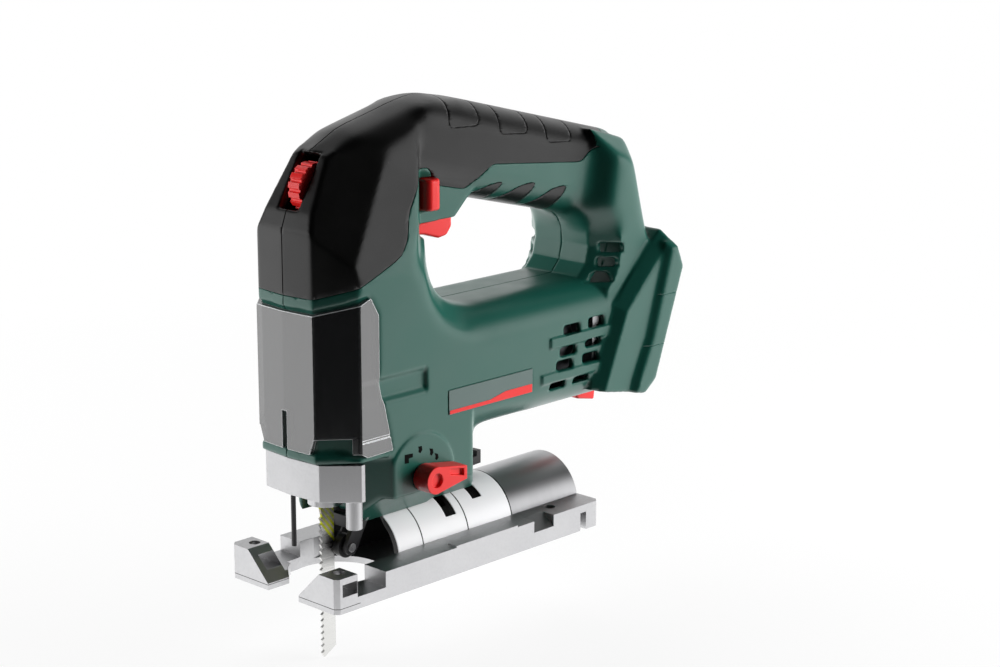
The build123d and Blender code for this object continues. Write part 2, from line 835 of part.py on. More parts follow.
with BuildPart() as shell:
    # The two mouldings before they are parted
    add(outer.part)
    add(head_cavity, mode=Mode.SUBTRACT)
    add(motor_cavity, mode=Mode.SUBTRACT)
    add(neck_form(shell_wall), mode=Mode.SUBTRACT)
    add(handle_form(handle_wall), mode=Mode.SUBTRACT)
    add(column_room.part, mode=Mode.SUBTRACT)
    add(bay.part, mode=Mode.SUBTRACT)
    gear_tip = gear_pitch_radius + tooth_addendum * gear_module
    gear_chamber = rod_along("x", (0, gear_axis_z), gear_tip + gear_room, frame_x[1], gear_x[1] + gear_room)
    add(gear_chamber, mode=Mode.SUBTRACT)
    for bar in screw_bars(screw_boss_radius, -far / 4, far / 4):
        boss = bar & outer.part
        add(boss)
    add(screw_wells.part, mode=Mode.SUBTRACT)
    add(shield_room.part, mode=Mode.SUBTRACT)
    add(grip.part, mode=Mode.SUBTRACT)
    add(finger_grip.part, mode=Mode.SUBTRACT)
    add(dial_slot.part, mode=Mode.SUBTRACT)
    # Trigger pocket and the cross hole of the lock button
    add(trigger_room, mode=Mode.SUBTRACT)
    add(button_room, mode=Mode.SUBTRACT)
    # Way out for the plunger, and the pins and spindles that the shells carry
    mouth_low = (foot_front_x, -foot_cheek_gap / 2, 0)
    mouth_high = (plunger_mouth_x, foot_cheek_gap / 2, head_trim_z + nose_wall + 1.0)
    add(box_between(mouth_low, mouth_high), mode=Mode.SUBTRACT)
    guide_hole = guide_pin_reach + screw_play
    guide_bore = rod_along("y", (plunger_x, guide_pivot_z), guide_pin_radius, -guide_hole, guide_hole)
    add(guide_bore, mode=Mode.SUBTRACT)
    spindle_hole = dial_spindle_reach + screw_play
    dial_centre = dial_plane.offset(dial_proud - dial_radius).origin
    dial_xz = (dial_centre.X, dial_centre.Z)
    add(rod_along("y", dial_xz, dial_spindle_radius, -spindle_hole, spindle_hole), mode=Mode.SUBTRACT)
    # Saddle pocket, lever pocket and fork slots in the foot
    saddle_low = (saddle_x[0], -saddle_half_width, 0)
    saddle_high = (saddle_x[1], saddle_half_width, saddle_top_z)
    add(box_between(saddle_low, saddle_high), mode=Mode.SUBTRACT)
    lever_low = (-far, -lever_pocket_half, 0)
    lever_high = (bevel_bolt_x + lever_hub_radius + 2.0, lever_pocket_half, lever_hub_high + 1.0)
    add(box_between(lever_low, lever_high), mode=Mode.SUBTRACT)
    bolt_hole = rod_along("z", (bevel_bolt_x, 0), bevel_bolt_radius, 0, bevel_bolt_top_z + seam_play)
    add(bolt_hole, mode=Mode.SUBTRACT)
    fork_outer = fork_half_gap + fork_arm + seam_play
    fork_low = (arch_front_x - 1.0, fork_half_gap - seam_play, 0)
    fork_high = (far, fork_outer, fork_pivot_z + fork_hub_radius + 1.5)
    add(mirrored_pair(box_between(fork_low, fork_high)), mode=Mode.SUBTRACT)
    fork_pivot = (fork_pivot_x, fork_pivot_z)
    fork_pin_hole = rod_along("y", fork_pivot, fork_pivot_radius, -fork_pin_reach, fork_pin_reach)
    add(fork_pin_hole, mode=Mode.SUBTRACT)
    # Selector bore on the left, blower slot below the rear
    selector_low_y = head_half_width - selector_shaft_depth
    selector_bore = selector_shaft_radius + running_play
    selector_hole = rod_along("y", (selector_x, selector_z), selector_bore, selector_low_y - 1.0, far / 4)
    add(selector_hole, mode=Mode.SUBTRACT)
    slot_low = (slider_stem_x[0] - seam_play, -slider_stem_half - seam_play, slider_top_z - 1.0)
    slot_far_x = slider_stem_x[1] + slider_travel + seam_play
    slot_high = (slot_far_x, slider_stem_half + seam_play, slider_stem_z + seam_play)
    add(box_between(slot_low, slot_high), mode=Mode.SUBTRACT)
    # Hinge hole of the front guard
    pin_hole = rod_along("z", (post_x, post_y), hinge_pin_radius, bow_z[1] - 1.0, hinge_pin_top_z)
    add(pin_hole, mode=Mode.SUBTRACT)
    # Side details on both sides: shield track, label seat, vent windows and louvre bars
    track_section = [
        (head_half_width + track_depth, track_z[0] - track_slope),
        (head_half_width - track_depth, track_z[0] + track_slope),
        (head_half_width - track_depth, track_z[1] - track_slope),
        (head_half_width + track_depth, track_z[1] + track_slope),
    ]
    with BuildPart(mode=Mode.PRIVATE) as track:
        with BuildSketch(Plane.YZ.offset(track_x[0])):
            Polygon(*track_section, align=None)
        extrude(amount=track_x[1] - track_x[0])
    add(mirrored_pair(track.part), mode=Mode.SUBTRACT)
    plate_low = (plate_x[0], head_half_width - plate_recess, plate_z[0])
    plate_high = (plate_x[1], far / 4, plate_z[1])
    add(mirrored_pair(box_between(plate_low, plate_high)), mode=Mode.SUBTRACT)
    for x, z, length, height in vent_windows:
        window_low = (x - length / 2, vent_inner_y, z - height / 2)
        window_high = (x + length / 2, far / 4, z + height / 2)
        window = box_between(window_low, window_high)
        add(mirrored_pair(window), mode=Mode.SUBTRACT)
    for x, z in column_slots:
        window = box_between(
            (x - column_slot_length / 2, vent_inner_y, z - column_slot_height / 2),
            (x + column_slot_length / 2, far / 4, z + column_slot_height / 2),
        )
        add(mirrored_pair(window), mode=Mode.SUBTRACT)
    for x, z, length, height in louvre_bars:
        bar = box_between(
            (x - length / 2, head_half_width - shell_wall, z - height / 2),
            (x + length / 2, head_half_width + louvre_rise, z + height / 2),
        )
        add(mirrored_pair(bar))

with BuildPart() as housing_left:
    add(shell.part)
    rosette_high = head_half_width + rosette_rise
    rosette = rod_along("y", (selector_x, selector_z), rosette_radius, head_half_width - 1.0, rosette_high)
    rosette_limit = box_between((-far, 0, foot_bottom_z), (foot_front_x, far, far))
    add(rosette & rosette_limit)
    add(
        rod_along("y", (selector_x, selector_z), selector_bore, head_half_width - 2.0, far / 4),
        mode=Mode.SUBTRACT,
    )
    split(bisect_by=Plane.XZ, keep=Keep.BOTTOM)

with BuildPart() as housing_right:
    add(shell.part)
    split(bisect_by=Plane.XZ, keep=Keep.TOP)

with BuildPart() as grip_cut:
    add(grip.part)
    add(screw_wells.part, mode=Mode.SUBTRACT)
    add(dial_slot.part, mode=Mode.SUBTRACT)
    add(button_room, mode=Mode.SUBTRACT)
    add(trigger_room, mode=Mode.SUBTRACT)

with BuildPart() as grip_left:
    add(grip_cut.part)
    split(bisect_by=Plane.XZ, keep=Keep.BOTTOM)

with BuildPart() as grip_right:
    add(grip_cut.part)
    split(bisect_by=Plane.XZ, keep=Keep.TOP)

with BuildPart() as finger_grip_left:
    add(finger_grip.part)
    split(bisect_by=Plane.XZ, keep=Keep.BOTTOM)

with BuildPart() as finger_grip_right:
    add(finger_grip.part)
    split(bisect_by=Plane.XZ, keep=Keep.TOP)

side_plate_left = box_between(
    (plate_x[0], head_half_width - plate_recess, plate_z[0]),
    (plate_x[1], head_half_width - plate_recess + plate_thickness, plate_z[1]),
)
side_plate_right = mirror(side_plate_left, about=Plane.XZ)

with BuildPart() as housing_screws:
    for x, z, seat in screw_places:
        add(rod_along("y", (x, z), screw_radius, -seat, screw_reach))
        add(rod_along("y", (x, z), screw_head_radius, -seat - screw_head_depth, -seat))

# Gearbox frame: a bulkhead across the housing with the saddle that rides on the arch
with BuildPart() as gearbox_frame:
    add(head_cavity)
    add(motor_cavity)
    add(box_between((frame_x[0], -far, 0), (frame_x[1], far, frame_top_z)), mode=Mode.INTERSECT)
    add(box_between((saddle_x[0], -saddle_half_width, 0), (saddle_x[1], saddle_half_width, saddle_top_z)))
    add(
        rod_along("x", (0, bevel_axis_z), arch_radius + arch_clearance, -far, far),
        mode=Mode.SUBTRACT,
    )
    add(box_between((-far, -far, -far), (far, far, bevel_axis_z)), mode=Mode.SUBTRACT)
    add(rod_along("x", (0, motor_axis_z), bearing_radius, -far, far), mode=Mode.SUBTRACT)
    add(rod_along("x", (0, gear_axis_z), gear_axle_radius, -far, far), mode=Mode.SUBTRACT)

gear_axle = rod_along(
    "x", (0, gear_axis_z), gear_axle_radius, frame_x[0] + gear_axle_inset, gear_x[1] + gear_axle_end
)


def ball_bearing(low_x, high_x):
    with BuildPart() as bearing:
        add(rod_along("x", (0, motor_axis_z), bearing_radius, low_x, high_x))
        add(
            rod_along("x", (0, motor_axis_z), shaft_radius + running_play, low_x, high_x),
            mode=Mode.SUBTRACT,
        )
    return bearing.part


front_bearing = ball_bearing(*frame_x)
rear_bearing = ball_bearing(*bracket_x)

with BuildPart() as bearing_bracket:
    add(motor_cavity)
    add(box_between((bracket_x[0], -far, 0), (bracket_x[1], far, far)), mode=Mode.INTERSECT)
    add(rod_along("x", (0, motor_axis_z), bearing_radius, -far, far), mode=Mode.SUBTRACT)

with BuildPart() as stator:
    stator_rear_x = stator_front_x - stator_length
    add(rod_along("x", (0, motor_axis_z), stator_radius, stator_rear_x, stator_front_x))
    add(rod_along("x", (0, motor_axis_z), stator_bore, -far, far), mode=Mode.SUBTRACT)

rotor_shaft = rod_along("x", (0, motor_axis_z), shaft_radius, bracket_x[0], pinion_front_x)

with BuildPart() as rotor_core:
    add(rod_along("x", (0, motor_axis_z), stator_bore - rotor_air_gap, stator_rear_x, stator_front_x))
    add(rod_along("x", (0, motor_axis_z), shaft_radius, -far, far), mode=Mode.SUBTRACT)

with BuildPart() as fan:
    with BuildSketch(Plane.YZ.offset(fan_x[0])):
        with Locations((0, motor_axis_z)):
            Circle(fan_radius)
    extrude(amount=fan_disc)
    with BuildSketch(Plane.YZ.offset(fan_x[0])):
        with Locations((0, motor_axis_z)):
            Circle(fan_hub)
            with PolarLocations((fan_hub + fan_radius) / 2, fan_blades):
                Rectangle(fan_radius - fan_hub + 1.0, fan_blade)
    extrude(amount=fan_x[1] - fan_x[0])
    add(rod_along("x", (0, motor_axis_z), shaft_radius, -far, far), mode=Mode.SUBTRACT)


def toothed_wheel(teeth, axis_z, first_tooth, bore, low_x, high_x):
    """A spur wheel on an x axis, with straight-flanked teeth and backlash."""
    pitch = gear_module * teeth / 2
    half_pitch = (math.pi * gear_module / 2 - tooth_backlash) / 2
    tip = pitch + tooth_addendum * gear_module
    root = pitch - tooth_dedendum * gear_module
    slant = math.tan(math.radians(20.0))
    half_tip = half_pitch - (tip - pitch) * slant
    half_root = half_pitch + (pitch - root) * slant * root_relief
    tooth = [(root - 0.5, -half_root), (pitch, -half_pitch), (tip, -half_tip)]
    tooth += [(x, -y) for x, y in reversed(tooth)]
    with BuildPart() as wheel:
        with BuildSketch(Plane.YZ.offset(low_x)):
            with Locations((0, axis_z)):
                Circle(root)
                with PolarLocations(0, teeth, start_angle=first_tooth):
                    Polygon(*tooth, align=None)
                Circle(bore, mode=Mode.SUBTRACT)
        extrude(amount=high_x - low_x)
    return wheel.part


pinion = toothed_wheel(pinion_teeth, motor_axis_z, 90.0, shaft_radius, gear_x[0], pinion_front_x)
gear_gap = 180.0 / gear_teeth - 90.0
crank_gear_blank = toothed_wheel(
    gear_teeth, gear_axis_z, gear_gap, gear_axle_radius + running_play, gear_x[0], gear_x[1]
)

with BuildPart() as crank_gear:
    add(crank_gear_blank)
    add(
        rod_along("x", (crank_radius, gear_axis_z), crank_pin_radius, -far, far),
        mode=Mode.SUBTRACT,
    )

crank_pin = rod_along(
    "x", (crank_radius, gear_axis_z), crank_pin_radius, gear_x[0], yoke_rear_x - crank_pin_gap
)

# Rod guide: a frame that hangs on two pins and carries the plunger in two bushes
with BuildPart() as rod_guide:
    rail_low_y = guide_half_width - guide_rail
    guide_low_x = plunger_x - guide_depth / 2
    guide_high_x = plunger_x + guide_depth / 2
    rail = box_between(
        (guide_low_x, rail_low_y, guide_low_z[0]), (guide_high_x, guide_half_width, guide_top_z)
    )
    add(mirrored_pair(rail))
    for low_z, high_z in (guide_low_z, guide_high_z):
        add(box_between((guide_low_x, -guide_half_width, low_z), (guide_high_x, guide_half_width, high_z)))
        add(rod_along("z", (plunger_x, 0), guide_boss_radius, low_z, high_z))
    add(rod_along("z", (plunger_x, 0), plunger_radius + running_play, 0, far), mode=Mode.SUBTRACT)
    pivot_bore = guide_pin_radius + running_play
    add(rod_along("y", (plunger_x, guide_pivot_z), pivot_bore, -far, far), mode=Mode.SUBTRACT)

guide_pin_start = guide_half_width - guide_rail
guide_pins = mirrored_pair(
    rod_along("y", (plunger_x, guide_pivot_z), guide_pin_radius, guide_pin_start, guide_pin_reach)
)

plunger_rod = rod_along("z", (plunger_x, 0), plunger_radius, plunger_low_z, plunger_high_z)

with BuildPart() as plunger_yoke:
    yoke_low = (yoke_rear_x, -yoke_half_width, gear_axis_z - yoke_height / 2)
    yoke_high = (plunger_x + yoke_front, yoke_half_width, gear_axis_z + yoke_height / 2)
    add(box_between(yoke_low, yoke_high))
    slot_half = crank_radius + crank_pin_radius + running_play
    slot_half_height = crank_pin_radius + running_play
    add(
        box_between(
            (-far, -slot_half, gear_axis_z - slot_half_height),
            (plunger_x - plunger_radius, slot_half, gear_axis_z + slot_half_height),
        ),
        mode=Mode.SUBTRACT,
    )
    add(rod_along("z", (plunger_x, 0), plunger_radius, 0, far), mode=Mode.SUBTRACT)

with BuildPart() as blade_clamp:
    add(rod_along("z", (plunger_x, 0), clamp_radius, *clamp_z))
    add(rod_along("z", (plunger_x, 0), plunger_radius, plunger_low_z, far), mode=Mode.SUBTRACT)
    slot_low = (plunger_x - blade_width / 2, -blade_thickness / 2, 0)
    slot_high = (plunger_x + blade_width / 2, blade_thickness / 2, blade_top_z)
    add(box_between(slot_low, slot_high), mode=Mode.SUBTRACT)

with BuildPart() as clamp_sleeve:
    with BuildSketch(Plane.XY.offset(sleeve_z[0])):
        with Locations((plunger_x, 0)):
            Circle(sleeve_radius)
            with PolarLocations(sleeve_radius, sleeve_ribs):
                Circle(sleeve_rib)
            Circle(clamp_radius + running_play, mode=Mode.SUBTRACT)
    extrude(amount=sleeve_z[1] - sleeve_z[0])

with BuildPart() as saw_blade:
    back_x = plunger_x - blade_width / 2
    front_x = plunger_x + blade_width / 2
    blade_outline = [(front_x, blade_top_z), (back_x, blade_top_z), (back_x, blade_tip_z + blade_width / 2)]
    blade_outline.append((front_x - tooth_depth, blade_tip_z))
    tooth_count = int((blade_teeth_top - blade_tip_z) / tooth_pitch)
    for i in range(tooth_count):
        low_z = blade_tip_z + i * tooth_pitch
        blade_outline.append((front_x, low_z + tooth_pitch * 0.75))
        blade_outline.append((front_x - tooth_depth, low_z + tooth_pitch))
    blade_outline.append((front_x, blade_teeth_top + tooth_pitch))
    add(side_slab(blade_outline, -blade_thickness / 2, blade_thickness / 2))

# Guide roller and its fork
with BuildPart() as guide_roller:
    with BuildSketch(Plane.XY):
        groove_low = roller_radius - roller_groove
        half_profile = [
            (roller_axle_radius + running_play, 0),
            (groove_low, 0),
            (groove_low, blade_thickness / 2 + running_play),
            (roller_radius, roller_flare),
            (roller_radius, roller_half_width),
            (roller_axle_radius + running_play, roller_half_width),
        ]
        Polygon(*half_profile, align=None)
        mirror(about=Plane.XZ)
    revolve(axis=Axis.Y)
guide_roller_part = guide_roller.part.moved(Location((roller_x, 0, roller_z)))

roller_axle_reach = fork_half_gap + fork_arm + roller_axle_end
roller_axle = rod_along("y", (roller_x, roller_z), roller_axle_radius, -roller_axle_reach, roller_axle_reach)

with BuildPart() as roller_fork:
    fork_angle = math.degrees(math.atan2(roller_z - fork_pivot_z, roller_x - fork_pivot_x))
    fork_length = math.hypot(roller_x - fork_pivot_x, roller_z - fork_pivot_z)
    arm_plane = Plane(
        origin=((roller_x + fork_pivot_x) / 2, fork_half_gap, (roller_z + fork_pivot_z) / 2),
        x_dir=(math.cos(math.radians(fork_angle)), 0, math.sin(math.radians(fork_angle))),
        z_dir=(0, 1, 0),
    )
    with BuildSketch(arm_plane):
        SlotCenterToCenter(fork_length, fork_arm_width)
    extrude(amount=fork_arm)
    hub_place = (fork_pivot_x, fork_half_gap, fork_pivot_z)
    with BuildSketch(Plane(origin=hub_place, x_dir=(1, 0, 0), z_dir=(0, 1, 0))):
        Circle(fork_hub_radius)
    extrude(amount=fork_arm)
    mirror(about=Plane.XZ)
    fork_outer = fork_half_gap + fork_arm
    bridge_low = (fork_bridge_x[0], -fork_outer, fork_bridge_z[0])
    bridge_high = (fork_bridge_x[1], fork_outer, fork_bridge_z[1])
    add(box_between(bridge_low, bridge_high))
    fork_bore = fork_pivot_radius + running_play
    add(rod_along("y", (fork_pivot_x, fork_pivot_z), fork_bore, -far, far), mode=Mode.SUBTRACT)
    add(rod_along("y", (roller_x, roller_z), roller_axle_radius, -far, far), mode=Mode.SUBTRACT)

fork_pin = rod_along("y", (fork_pivot_x, fork_pivot_z), fork_pivot_radius, -fork_pin_reach, fork_pin_reach)

# Orbit selector
selector_base_y = head_half_width + rosette_rise + seam_play
selector_centre = (selector_x, selector_z)
selector_shaft = rod_along("y", selector_centre, selector_shaft_radius, selector_low_y, selector_base_y)

with BuildPart() as selector_knob:
    with BuildSketch(Plane.XZ.offset(-selector_base_y - selector_proud)):
        with Locations((selector_x, selector_z)):
            Circle(selector_radius)
        wing = [
            (selector_x, selector_z + selector_radius),
            (selector_tip_x, selector_z + selector_tip_half),
            (selector_tip_x, selector_z - selector_tip_half),
            (selector_x, selector_z - selector_radius),
        ]
        Polygon(*wing, align=None)
    extrude(amount=selector_proud)

# Speed dial on its spindle
dial_spindle = rod_along("y", dial_xz, dial_spindle_radius, -dial_spindle_reach, dial_spindle_reach)

with BuildPart() as speed_dial:
    dial_side = (dial_xz[0], dial_low_y, dial_xz[1])
    with BuildSketch(Plane(origin=dial_side, x_dir=(1, 0, 0), z_dir=(0, 1, 0))):
        Circle(dial_radius)
        with PolarLocations(dial_radius, dial_ribs):
            Circle(dial_rib, mode=Mode.SUBTRACT)
        Circle(dial_spindle_radius + running_play, mode=Mode.SUBTRACT)
    extrude(amount=dial_width)

# Trigger, lock button and blower slide
trigger_outline = [
    (trigger_x[1], trigger_low_z + 3.6),
    (trigger_x[1], trigger_shoulder_z),
    (button_x[0] - 1.5, trigger_shoulder_z),
    (button_x[0] - 1.5, trigger_top_z),
    (trigger_x[0], trigger_top_z),
    (trigger_x[0], trigger_low_z + 4.5),
    (trigger_x[0] + 3.0, trigger_low_z + 0.6),
    (trigger_x[0] + 8.0, trigger_low_z),
    (trigger_x[0] + 17.0, trigger_low_z + 2.8),
]
trigger = side_slab(trigger_outline, -trigger_half_width, trigger_half_width)

with BuildPart() as lock_button:
    add(box_between((button_x[0], -button_reach, button_z[0]), (button_x[1], button_reach, button_z[1])))
    chamfer(lock_button.edges().filter_by(Axis.Z), length=button_chamfer)

with BuildPart() as blower_slide:
    slider_outline = [
        (slider_x[1], slider_top_z),
        (slider_x[0], slider_top_z),
        (slider_x[0] + 1.0, slider_low_z),
        (slider_x[1] - 3.0, slider_low_z + 2.5),
    ]
    add(side_slab(slider_outline, -slider_half_width, slider_half_width))
    add(
        box_between(
            (slider_stem_x[0], -slider_stem_half, slider_top_z),
            (slider_stem_x[1], slider_stem_half, slider_stem_z),
        )
    )

# Front guard, which swings on its left post and opens the blade clamp
bow_half = [
    (bow_front_x + bow_ridge, 0),
    (bow_front_x, head_ridge_half),
    (bow_front_x - (head_half_width - head_ridge_half), head_half_width),
    (bow_tail_x, head_half_width),
]
bow_plan = bow_half + [(x, -y) for x, y in reversed(bow_half[1:])]
bow_inside = [(x - far * (x <= bow_tail_x + bow_wall + 0.1), y) for x, y in inset_outline(bow_plan, bow_wall)]

with BuildPart() as blade_lever:
    add(plan_slab(bow_plan, *bow_z))
    add(plan_slab(bow_inside, 0, far), mode=Mode.SUBTRACT)
    add(box_between((-far, -far, 0), (bow_end_x, far, far)), mode=Mode.SUBTRACT)
    add(rod_along("z", (post_x, post_y), post_radius, post_low_z, bow_z[1]))
    pin_bore = hinge_pin_radius + running_play
    add(rod_along("z", (post_x, post_y), pin_bore, hinge_pin_low_z - 0.5, far), mode=Mode.SUBTRACT)
    add(rod_along("z", (wire_x, 0), wire_radius, 0, bow_z[0] + wire_seat), mode=Mode.SUBTRACT)

bow_pin = rod_along("z", (post_x, post_y), hinge_pin_radius, hinge_pin_low_z, hinge_pin_top_z)
wire_guard = rod_along("z", (wire_x, 0), wire_radius, wire_low_z, bow_z[0] + wire_seat)

# Switch, board and battery contacts
with BuildPart() as switch_module:
    with BuildSketch(handle_plane(switch_x[1])):
        RectangleRounded(handle_width - 2 * (handle_wall + seam_play), switch_height, switch_corner)
    extrude(amount=(switch_x[1] - switch_x[0]) / math.cos(math.radians(handle_slope)))

with BuildPart() as control_board:
    with BuildSketch(handle_plane(board_x[1])):
        Rectangle(handle_width - 2 * (handle_wall + seam_play), board_thickness)
    extrude(amount=(board_x[1] - board_x[0]) / math.cos(math.radians(handle_slope)))

with BuildPart() as terminal_block:
    with BuildSketch(rear_face.offset(-bay_depth)):
        with Locations((0, terminal_length / 2 - bay_length)):
            Rectangle(2 * terminal_half_width, terminal_length)
    extrude(amount=terminal_height)

with BuildPart() as contact_blades:
    with BuildSketch(rear_face.offset(-bay_depth + terminal_height * 0.3)):
        with Locations((0, terminal_length + contact_length / 2 - bay_length)):
            with GridLocations(contact_pitch, 1, contact_count, 1):
                Rectangle(contact_thickness, contact_length)
    extrude(amount=terminal_height * 0.6)

# Bevel clamp: a bolt with a curved nut inside the arch, a curved washer and a lever on top
nut_outer = arch_radius - arch_wall - arch_clearance
with BuildPart() as bevel_bolt:
    nut_rear_x = bevel_bolt_x - bevel_nut_length / 2
    nut_front_x = bevel_bolt_x + bevel_nut_length / 2
    add(rod_along("x", (0, bevel_axis_z), nut_outer, nut_rear_x, nut_front_x))
    add(rod_along("x", (0, bevel_axis_z), nut_outer - bevel_nut_wall, -far, far), mode=Mode.SUBTRACT)
    nut_low = (-far, -bevel_nut_width / 2, bevel_axis_z)
    nut_high = (far, bevel_nut_width / 2, far)
    add(box_between(nut_low, nut_high), mode=Mode.INTERSECT)
    nut_floor_z = bevel_axis_z + nut_outer - bevel_nut_wall / 2
    add(rod_along("z", (bevel_bolt_x, 0), bevel_bolt_radius, nut_floor_z, bevel_bolt_top_z))

with BuildPart() as bevel_washer:
    add(
        box_between(
            (bevel_bolt_x - lever_hub_radius, -lever_hub_radius, bevel_axis_z + arch_radius / 2),
            (bevel_bolt_x + lever_hub_radius, lever_hub_radius, lever_hub_low - seam_play),
        )
    )
    add(rod_along("x", (0, bevel_axis_z), arch_radius + arch_clearance, -far, far), mode=Mode.SUBTRACT)
    add(rod_along("z", (bevel_bolt_x, 0), bevel_bolt_radius, 0, far), mode=Mode.SUBTRACT)

lever_turn = math.radians(lever_rest_angle)
lever_plane = Plane(
    origin=(bevel_bolt_x, 0, 0),
    x_dir=(-math.cos(lever_turn), -math.sin(lever_turn), 0),
    z_dir=(0, 0, 1),
)
lever_mid_z = (lever_hub_low + lever_hub_high) / 2
with BuildPart() as bevel_lever:
    with BuildSketch(lever_plane.offset(lever_mid_z - lever_thickness / 2)):
        with Locations((lever_length / 2, 0)):
            Rectangle(lever_length, lever_width)
    extrude(amount=lever_thickness)
    with BuildSketch(lever_plane.offset(lever_hub_low)):
        Circle(lever_hub_radius)
    extrude(amount=lever_hub_high - lever_hub_low)
    with BuildSketch(lever_plane.offset(lever_mid_z - lever_thickness / 2)):
        with Locations((lever_length, 0)):
            Rectangle(lever_tip, lever_width)
    extrude(amount=lever_tip_height)
    add(rod_along("z", (bevel_bolt_x, 0), bevel_bolt_radius + running_play, 0, far), mode=Mode.SUBTRACT)

# Base plate: two rails, a floor under the arch and two prongs beside the blade
with BuildPart() as base_plate:
    add(box_between((base_rear_x, -base_half, 0), (prong_rear_x, base_half, rail_height)))
    prong = [
        (prong_half_gap, 0),
        (base_half, 0),
        (base_half, prong_height),
        (base_half - prong_top_width, prong_height),
        (prong_half_gap, prong_lip),
    ]
    for side in (1, -1):
        with BuildSketch(Plane.YZ.offset(prong_rear_x)):
            Polygon(*[(side * y, z) for y, z in prong], align=None)
        extrude(amount=prong_length)
    # Channel for the arch, window round the blade
    add(
        box_between((-far, -rail_half_gap, floor_thickness), (blade_window_x, rail_half_gap, far)),
        mode=Mode.SUBTRACT,
    )
    add(rod_along("z", (blade_window_x, 0), blade_window_radius, -1, far), mode=Mode.SUBTRACT)
    add(
        box_between((blade_window_x, -rail_half_gap, -1), (prong_rear_x, rail_half_gap, far)),
        mode=Mode.SUBTRACT,
    )
    # Slot and screw holes of the rip fence
    add(
        box_between(
            (fence_slot_x - fence_slot_width / 2, -far, fence_slot_low),
            (fence_slot_x + fence_slot_width / 2, far, fence_slot_high),
        ),
        mode=Mode.SUBTRACT,
    )
    for side in (1, -1):
        add(
            rod_along(
                "z", (fence_slot_x, side * fence_screw_y), fence_screw_radius, fence_slot_high - 0.5, far
            ),
            mode=Mode.SUBTRACT,
        )
        add(
            rod_along(
                "z",
                (rear_screw_x, side * rear_screw_y),
                fence_screw_radius,
                rail_height - rear_screw_depth,
                far,
            ),
            mode=Mode.SUBTRACT,
        )
    # Recesses that clear the guard's posts, notches and rear slots
    recess = box_between(
        (post_recess_x[0], prong_half_gap, post_recess_floor), (post_recess_x[1], far, far)
    )
    add(mirrored_pair(recess), mode=Mode.SUBTRACT)
    notch = [
        (base_half - side_notch_depth, rail_height),
        (base_half + 1.0, side_notch_floor - 0.8),
        (base_half + 1.0, far),
        (base_half - side_notch_depth, far),
    ]
    for side in (1, -1):
        with BuildSketch(Plane.YZ.offset(side_notch_x[0])):
            Polygon(*[(side * y, z) for y, z in notch], align=None)
        extrude(amount=side_notch_x[1] - side_notch_x[0], mode=Mode.SUBTRACT)
    slot = box_between((rear_slot_x[0], rail_half_gap + 2.0, -1), (rear_slot_x[1], far, rear_slot_height))
    add(mirrored_pair(slot), mode=Mode.SUBTRACT)
    boss = box_between(
        (side_boss_x[0], base_half - side_boss_width, rail_height - 1.0),
        (side_boss_x[1], base_half, rail_height + side_boss_rise),
    )
    add(mirrored_pair(boss))
    corners = base_plate.edges().filter_by(Axis.Z).filter_by(
        lambda edge: abs(abs(edge.center().Y) - base_half) < 0.01
        and (abs(edge.center().X - base_front_x) < 0.01 or abs(edge.center().X - base_rear_x) < 0.01)
    )
    chamfer(corners, length=corner_chamfer)

with BuildPart() as dust_arch:
    inner_radius = arch_radius - arch_wall
    with BuildSketch(Plane.YZ.offset(base_rear_x)):
        with Locations((0, bevel_axis_z)):
            Circle(arch_radius)
        with Locations((0, (bevel_axis_z + floor_thickness) / 2)):
            Rectangle(2 * arch_radius, bevel_axis_z - floor_thickness)
        with Locations((0, bevel_axis_z)):
            Circle(inner_radius, mode=Mode.SUBTRACT)
        with Locations((0, bevel_axis_z / 2)):
            Rectangle(2 * inner_radius, bevel_axis_z, mode=Mode.SUBTRACT)
        with Locations((0, floor_thickness - far / 2)):
            Rectangle(far, far, mode=Mode.SUBTRACT)
    extrude(amount=arch_front_x - base_rear_x)
    add(rod_along("z", (blade_window_x, 0), blade_window_radius, -1, far), mode=Mode.SUBTRACT)
    bolt_slot = 2 * (bevel_bolt_radius + bevel_bolt_play)
    for x, width, half_angle in (
        (bevel_bolt_x, bolt_slot, bevel_slot_half_angle),
        (index_slot_x, index_slot_width, index_slot_half_angle),
    ):
        reach_y = 2 * arch_radius * math.sin(math.radians(half_angle))
        reach_z = 2 * arch_radius * math.cos(math.radians(half_angle))
        wedge = [(0, bevel_axis_z), (reach_y, bevel_axis_z + reach_z)]
        wedge += [(reach_y, bevel_axis_z + 3 * arch_radius), (-reach_y, bevel_axis_z + 3 * arch_radius)]
        wedge.append((-reach_y, bevel_axis_z + reach_z))
        with BuildSketch(Plane.YZ.offset(x - width / 2)):
            Polygon(*wedge, align=None)
        extrude(amount=width, mode=Mode.SUBTRACT)

